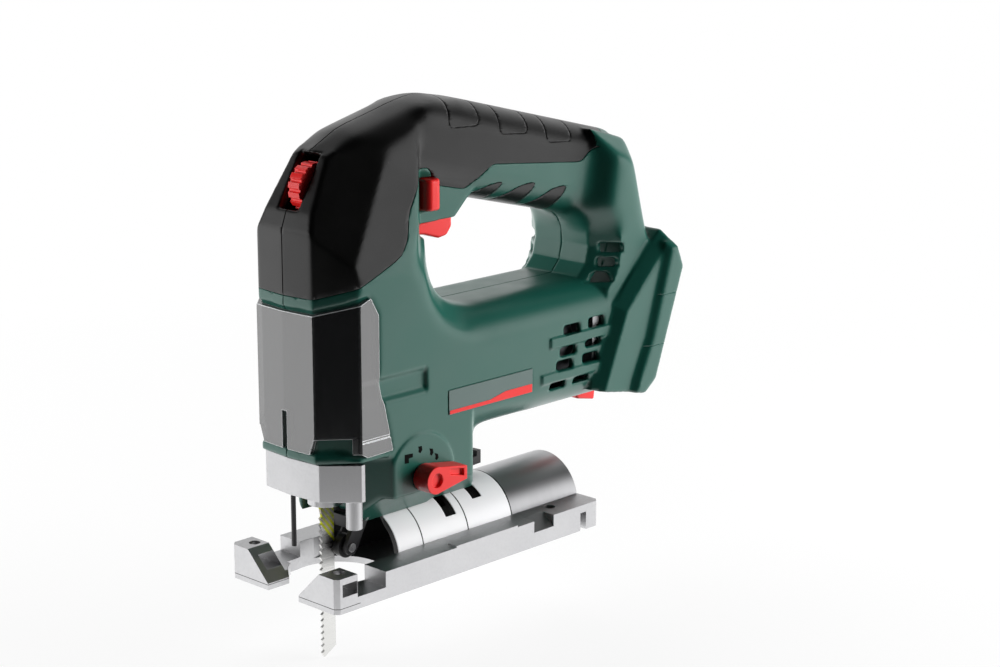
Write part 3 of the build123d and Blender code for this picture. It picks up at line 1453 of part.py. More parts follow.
pieces = {
    "housing_left": housing_left.part,
    "housing_right": housing_right.part,
    "grip_left": grip_left.part,
    "grip_right": grip_right.part,
    "finger_grip_left": finger_grip_left.part,
    "finger_grip_right": finger_grip_right.part,
    "side_plate_left": side_plate_left,
    "side_plate_right": side_plate_right,
    "housing_screws": housing_screws.part,
    "gearbox_frame": gearbox_frame.part,
    "gear_axle": gear_axle,
    "front_bearing": front_bearing,
    "rear_bearing": rear_bearing,
    "bearing_bracket": bearing_bracket.part,
    "stator": stator.part,
    "switch_module": switch_module.part,
    "control_board": control_board.part,
    "terminal_block": terminal_block.part,
    "contact_blades": contact_blades.part,
    "guide_pins": guide_pins,
    "dial_spindle": dial_spindle,
    "bevel_bolt": bevel_bolt.part,
    "bevel_washer": bevel_washer.part,
    "fork_pin": fork_pin,
    "bow_pin": bow_pin,
    "rotor_shaft": rotor_shaft,
    "rotor_core": rotor_core.part,
    "fan": fan.part,
    "pinion": pinion,
    "crank_gear": crank_gear.part,
    "crank_pin": crank_pin,
    "rod_guide": rod_guide.part,
    "plunger_rod": plunger_rod,
    "plunger_yoke": plunger_yoke.part,
    "blade_clamp": blade_clamp.part,
    "clamp_sleeve": clamp_sleeve.part,
    "saw_blade": saw_blade.part,
    "roller_fork": roller_fork.part,
    "roller_axle": roller_axle,
    "guide_roller": guide_roller_part,
    "selector_knob": selector_knob.part,
    "selector_shaft": selector_shaft,
    "speed_dial": speed_dial.part,
    "trigger": trigger,
    "lock_button": lock_button.part,
    "blower_slide": blower_slide.part,
    "blade_lever": blade_lever.part,
    "wire_guard": wire_guard,
    "chip_shield": chip_shield.part,
    "base_plate": base_plate.part,
    "dust_arch": dust_arch.part,
    "bevel_lever": bevel_lever.part,
}

os.makedirs("parts", exist_ok=True)
for name, piece in pieces.items():
    piece.label = name
    export_step(piece, f"parts/{name}.step")
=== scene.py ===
import math

import bmesh
import bpy
import numpy as np
from mathutils import Matrix, Vector
from mathutils.bvhtree import BVHTree
from mathutils.kdtree import KDTree


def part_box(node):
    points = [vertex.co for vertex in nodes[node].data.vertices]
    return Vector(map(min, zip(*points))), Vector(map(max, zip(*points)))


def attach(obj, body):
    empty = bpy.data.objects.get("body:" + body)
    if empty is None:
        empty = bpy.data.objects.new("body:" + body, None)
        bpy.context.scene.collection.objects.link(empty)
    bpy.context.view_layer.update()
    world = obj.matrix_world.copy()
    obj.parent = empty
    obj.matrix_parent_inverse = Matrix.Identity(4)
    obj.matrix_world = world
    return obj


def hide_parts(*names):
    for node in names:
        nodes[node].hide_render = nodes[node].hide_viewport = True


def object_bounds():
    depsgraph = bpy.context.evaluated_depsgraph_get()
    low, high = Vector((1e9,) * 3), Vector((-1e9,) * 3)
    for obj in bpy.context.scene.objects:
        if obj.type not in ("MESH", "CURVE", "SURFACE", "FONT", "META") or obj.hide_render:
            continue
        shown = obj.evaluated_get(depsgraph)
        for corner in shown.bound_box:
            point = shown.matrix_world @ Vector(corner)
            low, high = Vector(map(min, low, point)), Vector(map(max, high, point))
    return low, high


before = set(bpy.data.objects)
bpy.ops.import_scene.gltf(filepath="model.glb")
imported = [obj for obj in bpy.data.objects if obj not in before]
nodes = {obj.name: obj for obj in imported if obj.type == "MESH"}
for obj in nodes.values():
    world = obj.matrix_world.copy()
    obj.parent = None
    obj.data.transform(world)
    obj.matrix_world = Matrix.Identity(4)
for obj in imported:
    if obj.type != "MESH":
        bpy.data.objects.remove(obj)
cad_low, cad_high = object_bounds()

# The photograph's camera, in metres, degrees and millimetres
camera_place = (0.66392, 0.68753, 0.33762)
camera_azimuth = 133.831
camera_elevation = 13.783
camera_roll = 0.095
camera_lens = 78.236
camera_sensor = 36.0


def make_camera():
    """The camera at the photograph's angle."""
    azimuth = math.radians(camera_azimuth)
    elevation = math.radians(camera_elevation)
    back = Vector((
        math.sin(azimuth) * math.cos(elevation),
        -math.cos(azimuth) * math.cos(elevation),
        math.sin(elevation),
    ))
    data = bpy.data.cameras.new("camera")
    data.sensor_fit = "HORIZONTAL"
    data.sensor_width = camera_sensor
    data.lens = camera_lens
    data.clip_start = 0.01
    data.clip_end = 50.0
    camera = bpy.data.objects.new("camera", data)
    bpy.context.scene.collection.objects.link(camera)
    turn = (-back).to_track_quat("-Z", "Y").to_matrix().to_4x4()
    roll = Matrix.Rotation(math.radians(camera_roll), 4, "Z")
    camera.matrix_world = Matrix.Translation(camera_place) @ turn @ roll
    bpy.context.scene.camera = camera


# Materials. The scale of every pattern comes from a real size in millimetres

# Dark grooves across the arch, its axis, and the radius inside which its bore, slots and ends are darkened
# with painted shade
arch_lines = [0.0187, -0.0100, -0.0389]
arch_line_half = 0.00035
arch_axis_z = 0.0086
arch_skin = 0.0206
# Parting line around the prongs of the base plate
base_line_z = 0.0024
base_line_half = 0.00016
prong_start_x = 0.0705
# Relief of a surface's grain, rays that round an edge, and the part of a noise that changes the sheen
relief_height = 0.0002
bevel_rays = 6
noise_span = {"From Min": 0.3, "From Max": 0.7}
# Slanting paint on the upper blade: height less slope times x
hatch_slope = 1.27
hatch_start = -0.0514
hatch_period = 0.0035
hatch_share = 0.55


def linear(code):
    """An sRGB hex colour as linear red, green, blue and alpha."""
    parts = [int(code[at:at + 2], 16) / 255 for at in (1, 3, 5)]
    return (*[part / 12.92 if part <= 0.04045 else ((part + 0.055) / 1.055) ** 2.4 for part in parts], 1.0)


def feed(tree, made, inputs):
    """Set a node's inputs, by a link where the value is another node's output."""
    for key, value in inputs.items():
        if isinstance(value, bpy.types.NodeSocket):
            tree.links.new(value, made.inputs[key])
        else:
            made.inputs[key].default_value = value


def add(tree, kind, inputs, **settings):
    """Add a node with its settings and inputs, and give its outputs."""
    made = tree.nodes.new(kind)
    for key, value in settings.items():
        setattr(made, key, value)
    feed(tree, made, inputs)
    return made.outputs


def new_material(name):
    """A material with its node tree and its shader."""
    mat = bpy.data.materials.new(name)
    mat.use_nodes = True
    return mat, mat.node_tree, mat.node_tree.nodes["Principled BSDF"]


def moulded(name, dark, light, rough, grain, edge_mm=0.0, gloss=0.5):
    """Injection-moulded plastic. The eye sees faint flow marks 36 mm long, sheen that changes over 17 mm,
    and a spark grain, which is 0.1 mm in the mould and drawn at 0.4 mm so that it shows."""
    mat, tree, shader = new_material(name)
    place = add(tree, "ShaderNodeTexCoord", {})["Object"]
    flow = add(tree, "ShaderNodeTexNoise", {"Vector": place, "Scale": 1000 / 36, "Detail": 4.0})["Fac"]
    sheen = add(tree, "ShaderNodeTexNoise", {"Vector": place, "Scale": 1000 / 17, "Detail": 3.0})["Fac"]
    spark = add(tree, "ShaderNodeTexNoise", {"Vector": place, "Scale": 1000 / 0.4, "Detail": 1.0})["Fac"]
    colour = add(tree, "ShaderNodeMix", {0: flow, 6: linear(dark), 7: linear(light)}, data_type="RGBA")[2]
    levels = {"To Min": rough - 0.04, "To Max": rough + 0.04}
    roughness = add(tree, "ShaderNodeMapRange", {"Value": sheen, **noise_span, **levels})["Result"]
    relief = {"Height": spark, "Strength": grain, "Distance": relief_height}
    if edge_mm:
        edge = {"Radius": edge_mm / 1000}
        relief["Normal"] = add(tree, "ShaderNodeBevel", edge, samples=bevel_rays)["Normal"]
    normal = add(tree, "ShaderNodeBump", relief)["Normal"]
    looks = {"Base Color": colour, "Roughness": roughness, "Normal": normal, "Specular IOR Level": gloss}
    feed(tree, shader, looks)
    return mat


def metal(name, dark, light, rough, streak_mm, grain=0.15, edge_mm=0.3, sheen=0.06):
    """Bare metal. The eye sees clouds of tone 28 mm wide, and streaks or pits left by how it was made,
    whose size along x, y and z is given."""
    mat, tree, shader = new_material(name)
    place = add(tree, "ShaderNodeTexCoord", {})["Object"]
    steps = [1000 / size for size in streak_mm]
    drawn = add(tree, "ShaderNodeMapping", {"Vector": place, "Scale": steps})["Vector"]
    lines = add(tree, "ShaderNodeTexNoise", {"Vector": drawn, "Scale": 1.0, "Detail": 4.0})["Fac"]
    cloud = add(tree, "ShaderNodeTexNoise", {"Vector": place, "Scale": 1000 / 28, "Detail": 4.0})["Fac"]
    colour = add(tree, "ShaderNodeMix", {0: cloud, 6: linear(dark), 7: linear(light)}, data_type="RGBA")[2]
    levels = {"To Min": rough - sheen, "To Max": rough + sheen}
    roughness = add(tree, "ShaderNodeMapRange", {"Value": lines, **noise_span, **levels})["Result"]
    edge = add(tree, "ShaderNodeBevel", {"Radius": edge_mm / 1000}, samples=bevel_rays)["Normal"]
    relief = {"Height": lines, "Strength": grain, "Distance": relief_height, "Normal": edge}
    normal = add(tree, "ShaderNodeBump", relief)["Normal"]
    feed(tree, shader, {"Base Color": colour, "Roughness": roughness, "Normal": normal, "Metallic": 1.0})
    return mat


def smoky(name):
    """Tinted polycarbonate: smoky and glossy, with haze 45 mm wide and scratches that run up and down."""
    mat, tree, shader = new_material(name)
    place = add(tree, "ShaderNodeTexCoord", {})["Object"]
    haze = add(tree, "ShaderNodeTexNoise", {"Vector": place, "Scale": 1000 / 45, "Detail": 3.0})["Fac"]
    tint = {0: haze, 6: linear("#27282a"), 7: linear("#303133")}
    colour = add(tree, "ShaderNodeMix", tint, data_type="RGBA")[2]
    steps = (1000 / 0.8, 1000 / 0.8, 1000 / 17)
    drawn = add(tree, "ShaderNodeMapping", {"Vector": place, "Scale": steps})["Vector"]
    scratch = add(tree, "ShaderNodeTexNoise", {"Vector": drawn, "Scale": 1.0, "Detail": 2.0})["Fac"]
    levels = {"To Min": 0.10, "To Max": 0.18}
    roughness = add(tree, "ShaderNodeMapRange", {"Value": scratch, **noise_span, **levels})["Result"]
    feed(tree, shader, {"Base Color": colour, "Roughness": roughness})
    feed(tree, shader, {"Alpha": 0.8, "IOR": 1.9, "Specular IOR Level": 0.9})
    return mat


def paint_lines(mat):
    """The tree, shader and present colour of a material, and the place on the tool as x, y and z."""
    tree = mat.node_tree
    shader = tree.nodes["Principled BSDF"]
    colour = shader.inputs["Base Color"].links[0].from_socket
    place = add(tree, "ShaderNodeTexCoord", {})["Object"]
    return tree, shader, colour, add(tree, "ShaderNodeSeparateXYZ", {0: place})


def band_arch(mat):
    """Blasted and clear-coated in front, so pale and dull, with three dark grooves. Bare behind the last.
    Its bore, its slots and its ends are darkened with painted shade."""
    tree, shader, colour, parts = paint_lines(mat)
    bare = add(tree, "ShaderNodeMath", {0: parts["X"], 1: arch_lines[-1]}, operation="LESS_THAN")[0]
    colour = add(tree, "ShaderNodeMix", {0: bare, 6: colour, 7: linear("#bcbcbe")}, data_type="RGBA")[2]
    groove = None
    for line in arch_lines:
        near = {0: parts["X"], 1: line, 2: arch_line_half}
        found = add(tree, "ShaderNodeMath", near, operation="COMPARE")[0]
        if groove is not None:
            found = add(tree, "ShaderNodeMath", {0: groove, 1: found}, operation="MAXIMUM")[0]
        groove = found
    colour = add(tree, "ShaderNodeMix", {0: groove, 6: colour, 7: linear("#262626")}, data_type="RGBA")[2]
    # Painted shade: the bore, the slots and the ends, inside the arch's outer skin, get a dark colour
    rise = add(tree, "ShaderNodeMath", {0: parts["Z"], 1: arch_axis_z}, operation="SUBTRACT")[0]
    above = add(tree, "ShaderNodeMath", {0: rise, 1: 0.0}, operation="MAXIMUM")[0]
    square = add(tree, "ShaderNodeMath", {0: above, 1: above}, operation="MULTIPLY")[0]
    reach = {0: parts["Y"], 1: parts["Y"], 2: square}
    spread = add(tree, "ShaderNodeMath", reach, operation="MULTIPLY_ADD")[0]
    inside = add(tree, "ShaderNodeMath", {0: spread, 1: arch_skin ** 2}, operation="LESS_THAN")[0]
    colour = add(tree, "ShaderNodeMix", {0: inside, 6: colour, 7: linear("#262626")}, data_type="RGBA")[2]
    metallic = add(tree, "ShaderNodeMapRange", {"Value": bare, "To Min": 0.15, "To Max": 1.0})["Result"]
    even = shader.inputs["Roughness"].links[0].from_socket
    shine = {0: bare, 1: -0.08, 2: even}
    roughness = add(tree, "ShaderNodeMath", shine, operation="MULTIPLY_ADD")[0]
    feed(tree, shader, {"Base Color": colour, "Metallic": metallic, "Roughness": roughness})


def hatch_blade(mat):
    """Yellow and pale paint in slanting bands on the upper blade."""
    tree, shader, colour, parts = paint_lines(mat)
    rise = {0: parts["X"], 1: -hatch_slope, 2: parts["Z"]}
    slant = add(tree, "ShaderNodeMath", rise, operation="MULTIPLY_ADD")[0]
    above = add(tree, "ShaderNodeMath", {0: slant, 1: hatch_start}, operation="SUBTRACT")[0]
    painted = add(tree, "ShaderNodeMath", {0: above, 1: 0.0}, operation="GREATER_THAN")[0]
    bands = add(tree, "ShaderNodeMath", {0: above, 1: hatch_period}, operation="DIVIDE")[0]
    wave = add(tree, "ShaderNodeMath", {0: bands}, operation="FRACT")[0]
    stripe = add(tree, "ShaderNodeMath", {0: wave, 1: hatch_share}, operation="LESS_THAN")[0]
    yellow = add(tree, "ShaderNodeMath", {0: painted, 1: stripe}, operation="MULTIPLY")[0]
    colour = add(tree, "ShaderNodeMix", {0: painted, 6: colour, 7: linear("#b9b3a4")}, data_type="RGBA")[2]
    colour = add(tree, "ShaderNodeMix", {0: yellow, 6: colour, 7: linear("#c3c81e")}, data_type="RGBA")[2]
    metallic = add(tree, "ShaderNodeMath", {0: 1.0, 1: painted}, operation="SUBTRACT")[0]
    feed(tree, shader, {"Base Color": colour, "Metallic": metallic})


def line_base(mat):
    """The fine parting line around the front of the base plate's two prongs."""
    tree, shader, colour, parts = paint_lines(mat)
    near = {0: parts["Z"], 1: base_line_z, 2: base_line_half}
    line = add(tree, "ShaderNodeMath", near, operation="COMPARE")[0]
    front = add(tree, "ShaderNodeMath", {0: parts["X"], 1: prong_start_x}, operation="GREATER_THAN")[0]
    drawn = add(tree, "ShaderNodeMath", {0: line, 1: front}, operation="MULTIPLY")[0]
    colour = add(tree, "ShaderNodeMix", {0: drawn, 6: colour, 7: linear("#444444")}, data_type="RGBA")[2]
    feed(tree, shader, {"Base Color": colour})


def dress():
    """Make the finishes and give every CAD node its own."""
    paint = {
        "green": moulded("moulded_green", "#154d42", "#1a5348", 0.34, 0.10, 0.0, 0.68),
        "black": moulded("soft_black", "#070707", "#0b0b0b", 0.36, 0.14, 0.0, 0.48),
        "part": moulded("black_moulding", "#121214", "#19191b", 0.40, 0.1, 0.4),
        # Black print for the marks; the same finish paints shade into the screw sockets
        "ink_and_shade": moulded("black_print_and_socket_shade", "#070707", "#0c0c0c", 0.75, 0.05, 0.0, 0.1),
        "red": moulded("moulded_red", "#da1c1e", "#e62a28", 0.30, 0.06, 0.3),
        "grey": moulded("plate_grey", "#52635f", "#596a67", 0.38, 0.08, 0.3),
        "cast": metal("cast_aluminium", "#b1b1b3", "#bfbfc0", 0.44, (1.1, 1.1, 1.1), 0.12, 0.3),
        "arch": metal("blasted_aluminium", "#ececee", "#f3f3f4", 0.46, (1.1, 37, 37), 0.005, 0.4, 0.02),
        "anodised": metal("black_anodised_aluminium", "#1e1e20", "#28282a", 0.42, (1.1, 1.1, 1.1), 0.05),
        "steel": metal("machined_steel", "#aaaaac", "#bcbcbd", 0.3, (1.1, 1.1, 22)),
        "blade": metal("ground_blade_steel", "#b5b5b3", "#c2c2c0", 0.3, (22, 1.1, 1.1), 0.15, 0.1),
        "iron": metal("laminated_iron", "#616165", "#737376", 0.5, (1.1, 55, 55)),
        "brass": metal("stamped_brass", "#ceb176", "#ddc086", 0.3, (1.1, 11, 1.1), 0.15, 0.2),
        "board": moulded("coated_board", "#194b30", "#1f5538", 0.35, 0.1, 0.3),
        "clear": smoky("smoky_polycarbonate"),
        # Pale finish on the shield's rounded cut edges: a painted highlight
        "lit": moulded("polycarbonate_edge_painted_highlight", "#e4e6e8", "#f2f4f5", 0.22, 0.0, 0.0, 0.8),
    }
    band_arch(paint["arch"])
    hatch_blade(paint["blade"])
    line_base(paint["cast"])
    finish = {
        "green": ["housing_left", "housing_right"],
        "black": ["grip_left", "grip_right", "finger_grip_left", "finger_grip_right"],
        "grey": ["side_plate_left", "side_plate_right"],
        "red": ["selector_knob", "lock_button", "blower_slide", "trigger", "speed_dial"],
        "part": [
            "fan", "switch_module", "terminal_block", "clamp_sleeve", "selector_shaft", "bevel_lever",
            "wire_guard", "roller_fork", "guide_roller",
        ],
        "cast": ["bearing_bracket", "rod_guide", "base_plate", "blade_lever"],
        "anodised": ["gearbox_frame", "bevel_bolt"],
        "arch": ["dust_arch"],
        "blade": ["saw_blade"],
        "iron": ["stator", "rotor_core"],
        "brass": ["contact_blades"],
        "board": ["control_board"],
        "clear": ["chip_shield"],
    }
    named = {name for group in finish.values() for name in group}
    finish["steel"] = [name for name in nodes if name not in named]
    for key, group in finish.items():
        for name in group:
            nodes[name].data.materials.clear()
            nodes[name].data.materials.append(paint[key])
    return paint


# Smooth mouldings. The CAD halves are joined, rounded off and cut apart again along their real seams

shells = ["housing_left", "housing_right"]
grips = ["grip_left", "grip_right"]
fingers = ["finger_grip_left", "finger_grip_right"]
voxel = 0.0008
kept_share = 0.22
skin_depth = 0.0020
skin_gap = 0.00005
skin_rings = 6
skin_margin = 0.001
seam_half = 0.0003
seam_depth = 0.00035
cheek_y = 0.036
# How near a vertex is to a level, a seam or the middle plane to count as on it
on_level = 0.00004
on_seam = 0.00006
on_middle = 0.00002
# Rays that find the outside: cell size, start above the surface, least slope, reach and how many get out
ray_cell = 0.0025
ray_start = 0.0008
ray_slope = 0.1
ray_reach = 0.4
rays_out = 2
# Rounding: share of the way to the neighbours' middle and number of rounds, on edges and on broad forms
edge_pull = 0.55
fine_hold = 0.48
edge_rounds = 6
broad_pull = 0.75
broad_rounds = 55
fine_blur = 3.0
broad_blur = 8.0
# Corners of outlines: radius in millimetres, the most of a side that it takes, and steps in the curve
outline_radius = 3.0
corner_share = 0.45
corner_steps = 4
# More than there are vertices, so that two of them make one number
key_step = 10_000_000
# Side view outlines of the black skins, in millimetres as x and z
black_region = [
    (95.0, 130.5), (80.5, 134.0), (65.0, 138.5), (38.5, 148.5), (33.5, 155.0), (31.0, 166.0), (20.0, 181.5),
    (11.7, 183.0), (4.0, 173.5), (-14.0, 169.5), (-27.6, 179.6), (-88.0, 173.6), (-93.7, 178.8),
    (-112.0, 185.5), (-118.0, 240.0), (95.0, 240.0),
]
finger_flames = [
    [(-13.0, 150.0), (-17.0, 164.5), (-27.0, 169.5), (-36.5, 171.0), (-31.5, 162.0), (-36.0, 150.0)],
    [(-33.0, 150.0), (-36.5, 161.5), (-47.5, 167.5), (-57.5, 168.0), (-52.5, 158.0), (-58.0, 150.0)],
    [(-55.0, 150.0), (-58.0, 156.5), (-68.5, 163.5), (-78.5, 164.0), (-73.5, 153.0), (-78.0, 145.0)],
]

# Boxes in millimetres with fine detail, and those where one form runs smoothly into another
fine_boxes = [
    [(-110, -45, 64), (-42, 45, 106)],
    [(-112, -45, 112), (-85, 45, 137)],
    [(-46, 28, 70), (16, 45, 88)],
    [(4, -45, 140), (16, 45, 186)],
    [(20, -45, 84), (60, 45, 101)],
    [(9, 29, 28), (49, 45, 68)],
]
broad_boxes = [
    [(-14, -45, 108), (28, -14, 150)],
    [(-14, 14, 108), (28, 45, 150)],
    [(-120, -45, 142), (-84, 45, 176)],
    [(-6, -45, 198), (24, 45, 220)],
    [(-42, -30, 46), (-18, 30, 66)],
    [(24, -22, 196), (52, 22, 216)],
]
# Raised pads on the handle: lower corners in the side view, front and rear
grip_pads = [
    [(-0.7, 198.6), (-20.5, 197.8)],
    [(-32.9, 192.5), (-52.3, 190.9)],
    [(-64.0, 185.4), (-82.2, 183.9)],
]
handle_tilt = math.radians(13.7)
pad_rise = 40.0
# Lines in the outer cheeks of the battery shoe, as two ends in the side view
shoe_lines = [[(-122.7, 107.0), (-136.3, 107.0)], [(-113.5, 83.0), (-127.5, 83.0)]]


def arrays_of(mesh):
    """Vertices and triangles of a mesh."""
    verts = np.empty(len(mesh.vertices) * 3, np.float32)
    mesh.vertices.foreach_get("co", verts)
    mesh.calc_loop_triangles()
    tris = np.empty(len(mesh.loop_triangles) * 3, np.int32)
    mesh.loop_triangles.foreach_get("vertices", tris)
    return verts.reshape(-1, 3).astype(float), tris.reshape(-1, 3)


def join_arrays(names):
    """Vertices and triangles of several CAD nodes together."""
    all_verts, all_tris, start = [], [], 0
    for name in names:
        verts, tris = arrays_of(nodes[name].data)
        all_verts.append(verts)
        all_tris.append(tris + start)
        start += len(verts)
    return np.concatenate(all_verts), np.concatenate(all_tris)


def through_modifier(mesh, kind, **values):
    """The mesh that a modifier makes of another."""
    holder = bpy.data.objects.new("holder", mesh)
    bpy.context.scene.collection.objects.link(holder)
    modifier = holder.modifiers.new("step", kind)
    for key, value in values.items():
        setattr(modifier, key, value)
    graph = bpy.context.evaluated_depsgraph_get()
    made = bpy.data.meshes.new_from_object(holder.evaluated_get(graph))
    bpy.data.objects.remove(holder)
    bpy.data.meshes.remove(mesh)
    return made


def mesh_from(verts, faces, name="work"):
    """A mesh of arrays of vertices and faces."""
    mesh = bpy.data.meshes.new(name)
    mesh.from_pydata(verts.tolist(), [], faces.tolist())
    return mesh


def corner_normals(verts, tris):
    """The normal at each vertex, weighed by the area of its triangles."""
    a, b, c = verts[tris[:, 0]], verts[tris[:, 1]], verts[tris[:, 2]]
    flat = np.cross(b - a, c - a)
    normals = np.zeros_like(verts)
    for axis in range(3):
        for corner in range(3):
            normals[:, axis] += np.bincount(tris[:, corner], flat[:, axis], len(verts))
    return normals / np.maximum(np.linalg.norm(normals, axis=1), 1e-20)[:, None]


def relax(verts, edges, weight, rounds):
    """Move each vertex towards the middle of its neighbours, by its weight."""
    used = (weight[edges[:, 0]] > 0) | (weight[edges[:, 1]] > 0)
    start, end = edges[used, 0], edges[used, 1]
    count = len(verts)
    degree = np.maximum(np.bincount(start, minlength=count) + np.bincount(end, minlength=count), 1)
    for _ in range(rounds):
        for axis in range(3):
            column = verts[:, axis]
            total = np.bincount(start, column[end], count) + np.bincount(end, column[start], count)
            verts[:, axis] = column + weight * (total / degree - column)


def sees_out(verts, normals, tree):
    """Which vertices are on the outside, by rays from one vertex of each small cell."""
    cells = np.floor(verts / ray_cell).astype(np.int64)
    octant = (normals > 0) @ np.array([1, 2, 4])
    keys = np.column_stack([cells, octant])
    _, first, member = np.unique(keys, axis=0, return_index=True, return_inverse=True)
    steps = (-1, 0, 1)
    ways = [Vector((x, y, z)) for x in steps for y in steps for z in steps if x or y or z]
    ways = [way.normalized() for way in ways]
    open_cell = np.zeros(len(first), bool)
    for row, index in enumerate(first):
        normal = Vector(normals[index])
        place = Vector(verts[index]) + normal * ray_start
        rising = [way for way in ways if way.dot(normal) > ray_slope]
        free = sum(tree.ray_cast(place, way, ray_reach)[0] is None for way in rising)
        open_cell[row] = free >= rays_out
    return open_cell[member.ravel()]


def softly_inside(verts, low, high, blur):
    """One inside a box given in millimetres, falling to nought over a blur outside it."""
    low, high = np.array(low) / 1000, np.array(high) / 1000
    out = np.maximum(np.maximum(low - verts, verts - high), 0)
    return np.clip(1 - np.linalg.norm(out, axis=1) / (blur / 1000), 0, 1)


def round_outline(points, radius):
    """An outline in metres whose corners are rounded off."""
    points = [Vector((x / 1000, z / 1000)) for x, z in points]
    made = []
    for before, corner, after in zip(points[-1:] + points[:-1], points, points[1:] + points[:1]):
        back, on = before - corner, after - corner
        cut = min(radius / 1000, back.length * corner_share, on.length * corner_share)
        start, end = corner + back.normalized() * cut, corner + on.normalized() * cut
        for step in range(corner_steps + 1):
            t = step / corner_steps
            made.append(start * (1 - t) ** 2 + corner * 2 * t * (1 - t) + end * t ** 2)
    return made


def side_distance(verts, outline):
    """Distance to an outline in the side view, positive inside it."""
    x, z = verts[:, 0], verts[:, 2]
    best = np.full(len(verts), 1e9)
    inside = np.zeros(len(verts), bool)
    for (x0, z0), (x1, z1) in zip(outline, outline[1:] + outline[:1]):
        dx, dz = x1 - x0, z1 - z0
        along = np.clip(((x - x0) * dx + (z - z0) * dz) / max(dx * dx + dz * dz, 1e-18), 0, 1)
        best = np.minimum(best, np.hypot(x - x0 - along * dx, z - z0 - along * dz))
        crossed = ((z0 > z) != (z1 > z)) & (x < x0 + (z - z0) * dx / (dz if dz else 1e-12))
        inside ^= crossed
    return np.where(inside, best, -best)


def pad_outline(corners):
    """A pad in the side view, from its lower corners up over the top of the handle."""
    up = (-math.sin(handle_tilt) * pad_rise, math.cos(handle_tilt) * pad_rise)
    return corners + [(x + up[0], z + up[1]) for x, z in reversed(corners)]


def line_distance(verts, ends):
    """Height over a line in the side view, far off beyond its ends."""
    (x0, z0), (x1, z1) = ends
    height = verts[:, 2] - z0 / 1000
    beyond = (verts[:, 0] > x0 / 1000) | (verts[:, 0] < x1 / 1000)
    return np.where(beyond, np.sign(height) + 1e-3, height)


def cut_along(verts, tris, field, level, marks):
    """Split triangles along one level of a field. The marks of the vertices go along."""
    value = field(verts) - level
    value[np.abs(value) < on_level] = 0
    side = np.sign(value).astype(int)
    corner = side[tris]
    mixed = (corner.max(1) > 0) & (corner.min(1) < 0)
    work, corner = tris[mixed], corner[mixed]
    touching = (corner == 0).any(1)
    odd_one = np.argmax(corner == -np.sign(corner.sum(1))[:, None], 1)
    lone = np.where(touching, np.argmax(corner == 0, 1), odd_one)
    rows = np.arange(len(work))
    a, b, c = [work[rows, (lone + step) % 3] for step in range(3)]
    first = np.where(touching, c, a)
    ends = np.concatenate([np.stack([first, b], 1), np.stack([a, c], 1)[~touching]])
    pairs, index = np.unique(np.sort(ends, 1), axis=0, return_inverse=True)
    index = index.ravel() + len(verts)
    share = value[pairs[:, 0]] / (value[pairs[:, 0]] - value[pairs[:, 1]])
    fresh = verts[pairs[:, 0]] + (verts[pairs[:, 1]] - verts[pairs[:, 0]]) * share[:, None]
    fresh_marks = {key: mark[pairs[:, 0]] | mark[pairs[:, 1]] for key, mark in marks.items()}
    p = index[:len(work)]
    q = index[len(work):]
    t, n = touching, ~touching
    split = [
        np.stack([a[t], b[t], p[t]], 1), np.stack([a[t], p[t], c[t]], 1),
        np.stack([a[n], p[n], q], 1), np.stack([p[n], b[n], c[n]], 1), np.stack([p[n], c[n], q], 1),
    ]
    marks = {key: np.concatenate([mark, fresh_marks[key]]) for key, mark in marks.items()}
    return np.concatenate([verts, fresh]), np.concatenate([tris[~mixed]] + split), marks


def edge_keys(edges):
    """One number for each directed edge."""
    return edges[:, 0].astype(np.int64) * key_step + edges[:, 1]


def rim_of(tris):
    """Directed edges that have no partner."""
    edges = np.concatenate([tris[:, [0, 1]], tris[:, [1, 2]], tris[:, [2, 0]]])
    return edges[~np.isin(edge_keys(edges), edge_keys(edges[:, ::-1]))]


def wall(edges, offset):
    """Faces from outer edges down to their inner copies."""
    a, b = edges[:, 0], edges[:, 1]
    return np.concatenate([np.stack([b, a, a + offset], 1), np.stack([b, a + offset, b + offset], 1)])


def finish_piece(name, verts, tris, material, stands_for):
    """Close a moulding at the middle plane, shade it smoothly and show it."""
    used, index = np.unique(tris, return_inverse=True)
    mesh = mesh_from(verts[used], index.reshape(-1, 3), name)
    work = bmesh.new()
    work.from_mesh(mesh)
    bmesh.ops.dissolve_degenerate(work, dist=merge_gap, edges=work.edges)
    rim = [edge for edge in work.edges if edge.is_boundary]
    middle = [edge for edge in rim if max(abs(vert.co.y) for vert in edge.verts) < on_middle]
    bmesh.ops.triangle_fill(work, use_beauty=True, edges=middle)
    bmesh.ops.recalc_face_normals(work, faces=work.faces)
    for face in work.faces:
        face.smooth = True
    for edge in work.edges:
        if edge.is_manifold and edge.calc_face_angle() > moulding_crease:
            edge.smooth = False
    work.to_mesh(mesh)
    work.free()
    mesh = through_modifier(mesh, "WEIGHTED_NORMAL", keep_sharp=True, weight=moulding_weight)
    show(mesh, name, material, "housing", stands_for)


def mark_skins(verts, edges, outside):
    """Which outer vertices belong to the black skins, found before anything is rounded."""
    marks = {"outside": outside}
    for key, group in (("grip", grips), ("finger", fingers)):
        near_verts, near_tris = join_arrays(group)
        near = BVHTree.FromPolygons(near_verts.tolist(), near_tris.tolist())
        low, high = near_verts.min(0) - skin_margin, near_verts.max(0) + skin_margin
        mark = ((verts > low) & (verts < high)).all(1) & outside
        for index in np.nonzero(mark)[0]:
            mark[index] = near.find_nearest(verts[index], voxel)[0] is not None
        # A few rings wider, as the outline in the side view ends the skin
        for _ in range(skin_rings):
            wide = mark.copy()
            wide[edges[mark[edges[:, 0]], 1]] = True
            wide[edges[mark[edges[:, 1]], 0]] = True
            mark = wide & outside
        marks[key] = mark
    return marks


